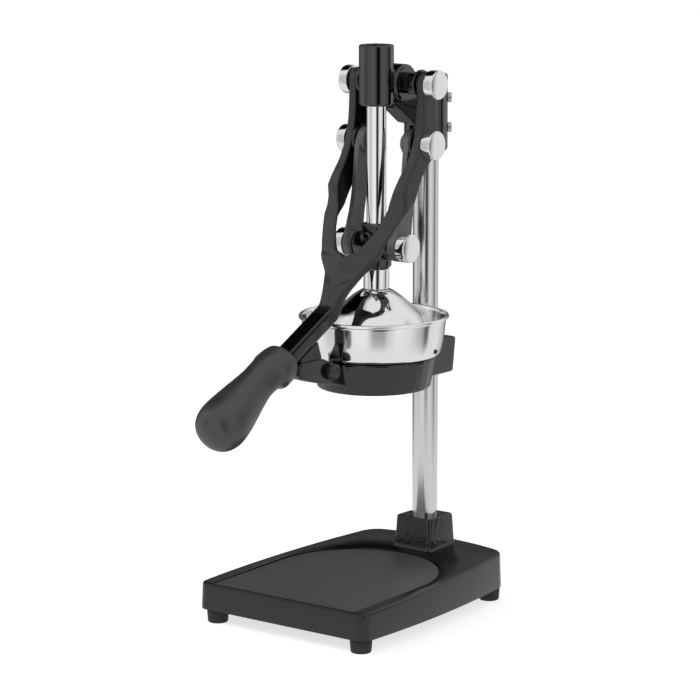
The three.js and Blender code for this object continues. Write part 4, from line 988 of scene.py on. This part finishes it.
# Along the grip, its half heights above and below the axis as shares of the bulb
GRIP_SHARES = (
    (0.004, 0.5, 0.42), (0.012, 0.64, 0.6), (0.028, 0.735, 0.7), (0.05, 0.78, 0.748),
    (0.1, 0.83, 0.771), (0.155, 0.862, 0.768), (0.18, 0.873, 0.73), (0.205, 0.88, 0.615),
    (0.235, 0.884, 0.53), (0.27, 0.885, 0.5), (0.365, 0.882, 0.486), (0.475, 0.917, 0.605),
    (0.568, 0.95, 0.743), (0.68, 0.982, 0.9), (0.79, 1, 0.99), (0.856, 0.968, 0.968),
    (0.907, 0.885, 0.885), (0.948, 0.74, 0.74), (0.979, 0.51, 0.51), (0.996, 0.22, 0.22))
GRIP_STEPS = 80


def make_lever(sizes):
    fork = cast_copy("lever_fork", "fork_lever", sizes, "lever_enamel", "lever", 1.0, 1.8)
    axis = Vector((0, -math.cos(SLOPE), -math.sin(SLOPE)))
    up = Vector((0, -math.sin(SLOPE), math.cos(SLOPE)))
    start = BEND + ROD_PLACE - up * SHANK_THICKNESS / 2

    # Painted shade: 1 along the shank past the bend, where it takes a darker black, and a glossier finish
    def shank_shade_zone(vertex):
        return clamped((vertex.co - start).dot(axis) / SHANK_BLEND + 0.5)

    # Painted shade: 1 on the arms' inner faces above the bend
    def shade_between_arms(vertex):
        inward = -vertex.normal.x if vertex.co.x > 0 else vertex.normal.x
        raised = (vertex.co.z - BEND.z) / INNER_BLEND - 1
        return clamped(min(inward * 3 - 1.5, raised))

    paint(fork.data, "panel", shank_shade_zone)
    paint(fork.data, "recess", shade_between_arms)
    rings = []
    for far, above, below in curve_through(GRIP_SHARES, 6):
        middle = start + axis * (GRIP_START + GRIP_LENGTH * far)
        ring = []
        for k in range(GRIP_STEPS):
            turn = 2 * math.pi * k / GRIP_STEPS
            height = BULB_RADIUS * (above if math.sin(turn) > 0 else below) * math.sin(turn)
            across = BULB_RADIUS * (above + below) / 2 * math.cos(turn)
            ring.append(middle + Vector((across, 0, 0)) + up * height)
        rings.append(ring)
    hand_over(Shape().loft(rings).build("lever_grip", 60), "grip_rubber", "grip_rubber", "lever", "grip")


# Pins, caps and links


def cap_profile(sizes):
    return lambda low, high, radius: rounded([
        (0, low, 0), (radius, low, 0.3 * MM), (radius, high, sizes.cap_edge), (0, high, 0)])


def disc_profile(edge):
    return lambda low, high, radius: bar_profile(low, high, radius, edge)


def make_pins(sizes):
    steps = sizes.turning_steps
    for stem, body in (("upper_cap", "stand"), ("mid_cap", "lever"), ("lower_cap", "links")):
        pair(f"{stem}s", stem, cap_profile(sizes), "chrome", "chrome", body, steps)
    pair("upper_spacers", "upper_spacer", disc_profile(0.5 * MM), "enamel", "enamel", "stand", steps)
    pair("upper_washers", "upper_washer", disc_profile(0.4 * MM), "enamel", "enamel", "stand", steps)
    pair("mid_washers", "mid_washer", disc_profile(0.4 * MM), "enamel", "enamel", "lever", steps)
    pair("mid_pins", "mid_pin", disc_profile(0.4 * MM), "satin_steel", "steel", "lever", steps)
    pair("lower_pins", "lower_pin", disc_profile(0.3 * MM), "satin_steel", "steel", "links", steps)
    machined_copy("fulcrum_shaft", "upper_shaft", "satin_steel", "steel", "stand", 0.3 * MM)


def make_links(sizes):
    for side in SIDES:
        cast_copy(f"side_link_{side}", f"link_{side}", sizes, "link_enamel", "links", 0.7, 0.8)


# Press: crosshead, rod, sleeve and bell


# Head radius, head height, length below the head and shank radius
CROSS_SCREW = (4 * MM, 2.4 * MM, 3 * MM, 2.5 * MM)
# The bell's skin as shares of its radius and, downwards, of its height
BELL_OUTSIDE = (
    (0.16, 0.0), (0.24, 0.004), (0.3, 0.03), (0.417, 0.108), (0.567, 0.23), (0.69, 0.335), (0.7875, 0.44),
    (0.89, 0.61), (0.96, 0.8), (0.993, 0.94), (0.998, 0.985))
BELL_INSIDE = (
    (0.985, 0.998), (0.93, 0.998), (0.91, 0.985), (0.9, 0.93), (0.87, 0.77), (0.74, 0.54), (0.46, 0.37),
    (0.3, 0.31), (0.16, 0.3))


def make_press(sizes):
    steps = sizes.turning_steps
    cast_copy("cross_head", "crosshead", sizes, "enamel", "press", 0.7, 0.8)
    middle, half = box_of("crosshead_screw")
    seat = (0, middle.y - half.y + CROSS_SCREW[1], middle.z)
    screw = socket_screw(Shape(), along(seat, (0, -1, 0)), *CROSS_SCREW)
    hand_over(screw.build("cross_head_screw"), "enamel", "enamel", "press", "crosshead_screw")
    bars = (("rod_bar", "drawn_chrome", "press_rod"), ("rod_collar", "chrome", "rod_sleeve"))
    for name, finish, node in bars:
        low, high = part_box(node)
        bar = bar_profile(low.z, high.z, (high.x - low.x) / 2, 0.8 * MM)
        shape = Shape().turn(bar, along(ROD_PLACE, (0, 0, 1)), steps)
        hand_over(shape.build(name), finish, "chrome", "press", node)
    low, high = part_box("press_bell")
    radius, tall = (high.x - low.x) / 2, high.z - low.z
    skin = curve_through(BELL_OUTSIDE, 6) + curve_through(BELL_INSIDE, 5)
    profile = [(radius * r, high.z - tall * drop) for r, drop in skin]
    bell = Shape().turn(profile, along(ROD_PLACE, (0, 0, 1)), 180)
    hand_over(bell.build("bell_cup", 50), "chrome", "chrome", "press", "press_bell")
    machined_copy("bell_lock_nut", "bell_nut", "satin_steel", "steel", "press", 0.3 * MM)
    machined_copy("bell_disc", "bell_washer", "satin_steel", "steel", "press", 0.2 * MM)


# Studio


def aim(thing, place, forward, roll=0.0):
    forward = Vector(forward).normalized()
    turn = forward.to_track_quat("-Z", "Y").to_matrix() @ Matrix.Rotation(roll, 3, "Z")
    thing.matrix_world = Matrix.Translation(place) @ turn.to_4x4()


def softbox(name, place, target, size, power):
    light = bpy.data.lights.new(name, "AREA")
    light.shape = "RECTANGLE"
    light.size, light.size_y = size
    light.energy = power
    lamp = bpy.data.objects.new(name, light)
    lamp.visible_glossy = False
    bpy.context.scene.collection.objects.link(lamp)
    aim(lamp, Vector(place), Vector(target) - Vector(place))


# Brightness that shiny parts mirror, by compass direction in degrees
BANDS = (
    (-180, 0.55), (-168, 0.6), (-152, 0.92), (-131, 0.5), (-116, 0.6), (-100, 0.78), (-78, 0.92), (-62, 0.95),
    (-55, 0.45), (-50, 0.03), (-33, 0.03), (-26, 0.5), (-11, 0.9), (12, 0.75), (27, 0.5), (36, 0.35),
    (40, 0.07), (45, 0.07), (50, 0.75), (72, 0.8), (95, 0.5), (110, 0.12), (168, 0.1), (180, 0.55))
# Above the horizon the bands fade into one level, and the lever's shank mirrors a dark patch
FADE_START, FADE_END = 0.3, 0.7
UPPER_LEVEL = 0.8
PATCH = Vector((-0.61, 0.29, 0.738))
PATCH_EDGE, PATCH_CORE = 0.84, 0.93
# The floor is plain near the press and banded far off, which only mirrors see
FLOOR_HALF = 6
FLOOR_LEVEL = 0.8
BANDS_START, BANDS_END = 0.42, 0.85
LIT_SPOT = (0, 0.05, 0.25)


def ramp(tree, factor, stops):
    """Levels of grey along a factor from 0 to 1."""
    node = tree.nodes.new("ShaderNodeValToRGB")
    elements = node.color_ramp.elements
    while len(elements) < len(stops):
        elements.new(0.5)
    for element, (place, value) in zip(elements, stops):
        element.position = place
        element.color = (value, value, value, 1)
    tree.links.new(factor, node.inputs["Fac"])
    return node.outputs["Color"]


def share_between(tree, value, start, end):
    node = tree.nodes.new("ShaderNodeMapRange")
    node.inputs["From Min"].default_value = start
    node.inputs["From Max"].default_value = end
    tree.links.new(value, node.inputs["Value"])
    return node.outputs["Result"]


def bands_round(tree, direction):
    around = tree.nodes.new("ShaderNodeTexGradient")
    around.gradient_type = "RADIAL"
    tree.links.new(direction, around.inputs["Vector"])
    return ramp(tree, around.outputs["Fac"], [(turn / 360 + 0.5, value) for turn, value in BANDS])


def times(tree, a, b):
    node = tree.nodes.new("ShaderNodeMath")
    node.operation = "MULTIPLY"
    tree.links.new(a, node.inputs[0])
    tree.links.new(b, node.inputs[1])
    return node.outputs[0]


def mixed(tree, factor, first, second):
    node = tree.nodes.new("ShaderNodeMixShader")
    tree.links.new(factor, node.inputs[0])
    tree.links.new(first, node.inputs[1])
    tree.links.new(second, node.inputs[2])
    return node.outputs[0]


def make_world(level):
    world = bpy.data.worlds.new("Studio")
    bpy.context.scene.world = world
    world.use_nodes = True
    tree = world.node_tree
    tree.nodes.clear()
    add, link = tree.nodes.new, tree.links.new
    direction = add("ShaderNodeTexCoord").outputs["Generated"]
    parts = add("ShaderNodeSeparateXYZ")
    link(direction, parts.inputs[0])
    faded = add("ShaderNodeMix")
    faded.inputs[3].default_value = UPPER_LEVEL
    link(share_between(tree, parts.outputs[2], FADE_START, FADE_END), faded.inputs[0])
    link(bands_round(tree, direction), faded.inputs[2])
    toward = add("ShaderNodeVectorMath")
    toward.operation = "DOT_PRODUCT"
    toward.inputs[1].default_value = PATCH
    link(direction, toward.inputs[0])
    clear = share_between(tree, toward.outputs["Value"], PATCH_CORE, PATCH_EDGE)
    bands = times(tree, faded.outputs[0], clear)
    rays = add("ShaderNodeLightPath")
    plain, mirrored, white = (add("ShaderNodeBackground") for _ in range(3))
    for shade in (plain, mirrored, white):
        shade.inputs["Color"].default_value = (1, 1, 1, 1)
    plain.inputs["Strength"].default_value = level
    link(bands, mirrored.inputs["Strength"])
    other = mixed(tree, rays.outputs["Is Glossy Ray"], plain.outputs[0], mirrored.outputs[0])
    seen = mixed(tree, rays.outputs["Is Camera Ray"], other, white.outputs[0])
    link(seen, add("ShaderNodeOutputWorld").inputs["Surface"])


def make_floor(studio):
    """A pale floor: white with a soft shadow for the camera, banded far away for mirrors."""
    mesh = bpy.data.meshes.new("floor")
    half = FLOOR_HALF
    corners = [(-half, -half, 0), (half, -half, 0), (half, half, 0), (-half, half, 0)]
    mesh.from_pydata(corners, [], [(0, 1, 2, 3)])
    floor = bpy.data.objects.new("floor", mesh)
    bpy.context.scene.collection.objects.link(floor)
    finish = Finish("Floor", studio.floor_shade, 0.9)
    finish.vary_colour(finish.noise(3, 2), 0.995, 1.005)
    tree, add, link = finish.tree, finish.tree.nodes.new, finish.link
    rays = add("ShaderNodeLightPath")
    reach = add("ShaderNodeVectorMath")
    reach.operation = "LENGTH"
    link(finish.place, reach.inputs[0])
    far = finish.spread(reach.outputs["Value"], 0, 1, BANDS_START, BANDS_END)
    level = add("ShaderNodeMix")
    level.inputs[2].default_value = FLOOR_LEVEL
    link(far, level.inputs[0])
    link(bands_round(tree, finish.place), level.inputs[3])
    mirrored, glow = add("ShaderNodeEmission"), add("ShaderNodeEmission")
    link(level.outputs[0], mirrored.inputs["Strength"])
    glow.inputs["Strength"].default_value = studio.floor_glow
    seen = add("ShaderNodeBsdfDiffuse")
    seen.inputs["Color"].default_value = (*studio.floor_seen, 1)
    both = add("ShaderNodeAddShader")
    link(glow.outputs[0], both.inputs[0])
    link(seen.outputs[0], both.inputs[1])
    other = mixed(tree, rays.outputs["Is Glossy Ray"], finish.shader.outputs[0], mirrored.outputs[0])
    surface = mixed(tree, rays.outputs["Is Camera Ray"], other, both.outputs[0])
    link(surface, tree.nodes["Material Output"].inputs["Surface"])
    mesh.materials.append(finish.material)


def make_stage(studio):
    scene = bpy.context.scene
    scene.view_settings.view_transform = "Standard"
    camera_data = bpy.data.cameras.new("Camera")
    camera_data.lens = studio.lens
    camera_data.clip_end = 50
    camera = bpy.data.objects.new("Camera", camera_data)
    scene.collection.objects.link(camera)
    scene.camera = camera
    aim(camera, Vector(studio.camera_place) + ROD_PLACE, studio.camera_aim, studio.camera_roll)
    make_world(studio.world_level)
    make_floor(studio)
    softbox("Key", (-1.1, -1.3, 1.5), LIT_SPOT, (1.2, 1.2), studio.key_power)
    softbox("Fill", (1.6, -0.6, 0.9), LIT_SPOT, (0.9, 1.4), studio.fill_power)


# Operators


def press_operator(identifier, label, description, make, group="press_sizes"):
    """An operator class that makes one piece or group of like pieces."""
    def execute(self, context):
        make(getattr(context.scene, group))
        return {"FINISHED"}

    return type(identifier, (bpy.types.Operator,), {
        "__doc__": description, "bl_idname": f"press.{identifier}", "bl_label": label, "execute": execute})


OPERATORS = [
    press_operator("finishes", "Finishes", "Make the materials", make_finishes, "press_finishes"),
    press_operator("stage", "Studio", "Make the floor, lights and camera", make_stage, "press_studio"),
    press_operator("base", "Base plate", "Make the base plate with its pedestal", make_base),
    press_operator("feet", "Feet", "Make the four feet and their screws", make_feet),
    press_operator("column", "Column", "Make the column and its bolt", make_column),
    press_operator("head", "Head", "Make the head casting, its bush and screws", make_head),
    press_operator("ring", "Ring bracket", "Make the ring bracket and the lever rest", make_ring),
    press_operator("cup", "Cup", "Make the cup and its strainer", make_cup),
    press_operator("lever", "Lever", "Make the fork lever and its grip", make_lever),
    press_operator("pins", "Pins", "Make the pins, caps, spacers and washers", make_pins),
    press_operator("links", "Links", "Make the two side links", make_links),
    press_operator("press", "Press bell", "Make the crosshead, rod, sleeve and bell", make_press),
]


class PRESS_PT_pieces(bpy.types.Panel):
    """Lists the pieces of the press and its studio"""
    bl_idname = "PRESS_PT_pieces"
    bl_label = "Lever citrus press"
    bl_space_type = "VIEW_3D"
    bl_region_type = "UI"
    bl_category = "Press"

    def draw(self, context):
        for operator in OPERATORS:
            self.layout.operator(operator.bl_idname)
        for group in ("press_finishes", "press_sizes", "press_studio"):
            holder = getattr(context.scene, group)
            box = self.layout.box()
            for name in holder.bl_rna.properties.keys():
                if name not in ("rna_type", "name"):
                    box.prop(holder, name)


GROUPS = {"press_finishes": PressFinishes, "press_sizes": PressSizes, "press_studio": PressStudio}


def register():
    for group in GROUPS.values():
        bpy.utils.register_class(group)
    for operator in OPERATORS:
        bpy.utils.register_class(operator)
    bpy.utils.register_class(PRESS_PT_pieces)
    for name, group in GROUPS.items():
        setattr(bpy.types.Scene, name, PointerProperty(type=group))


def unregister():
    for name in GROUPS:
        delattr(bpy.types.Scene, name)
    bpy.utils.unregister_class(PRESS_PT_pieces)
    for operator in reversed(OPERATORS):
        bpy.utils.unregister_class(operator)
    for group in GROUPS.values():
        bpy.utils.unregister_class(group)


def main():
    register()
    for operator in OPERATORS:
        group, name = operator.bl_idname.split(".")
        getattr(getattr(bpy.ops, group), name)()


if __name__ == "__main__":
    main()
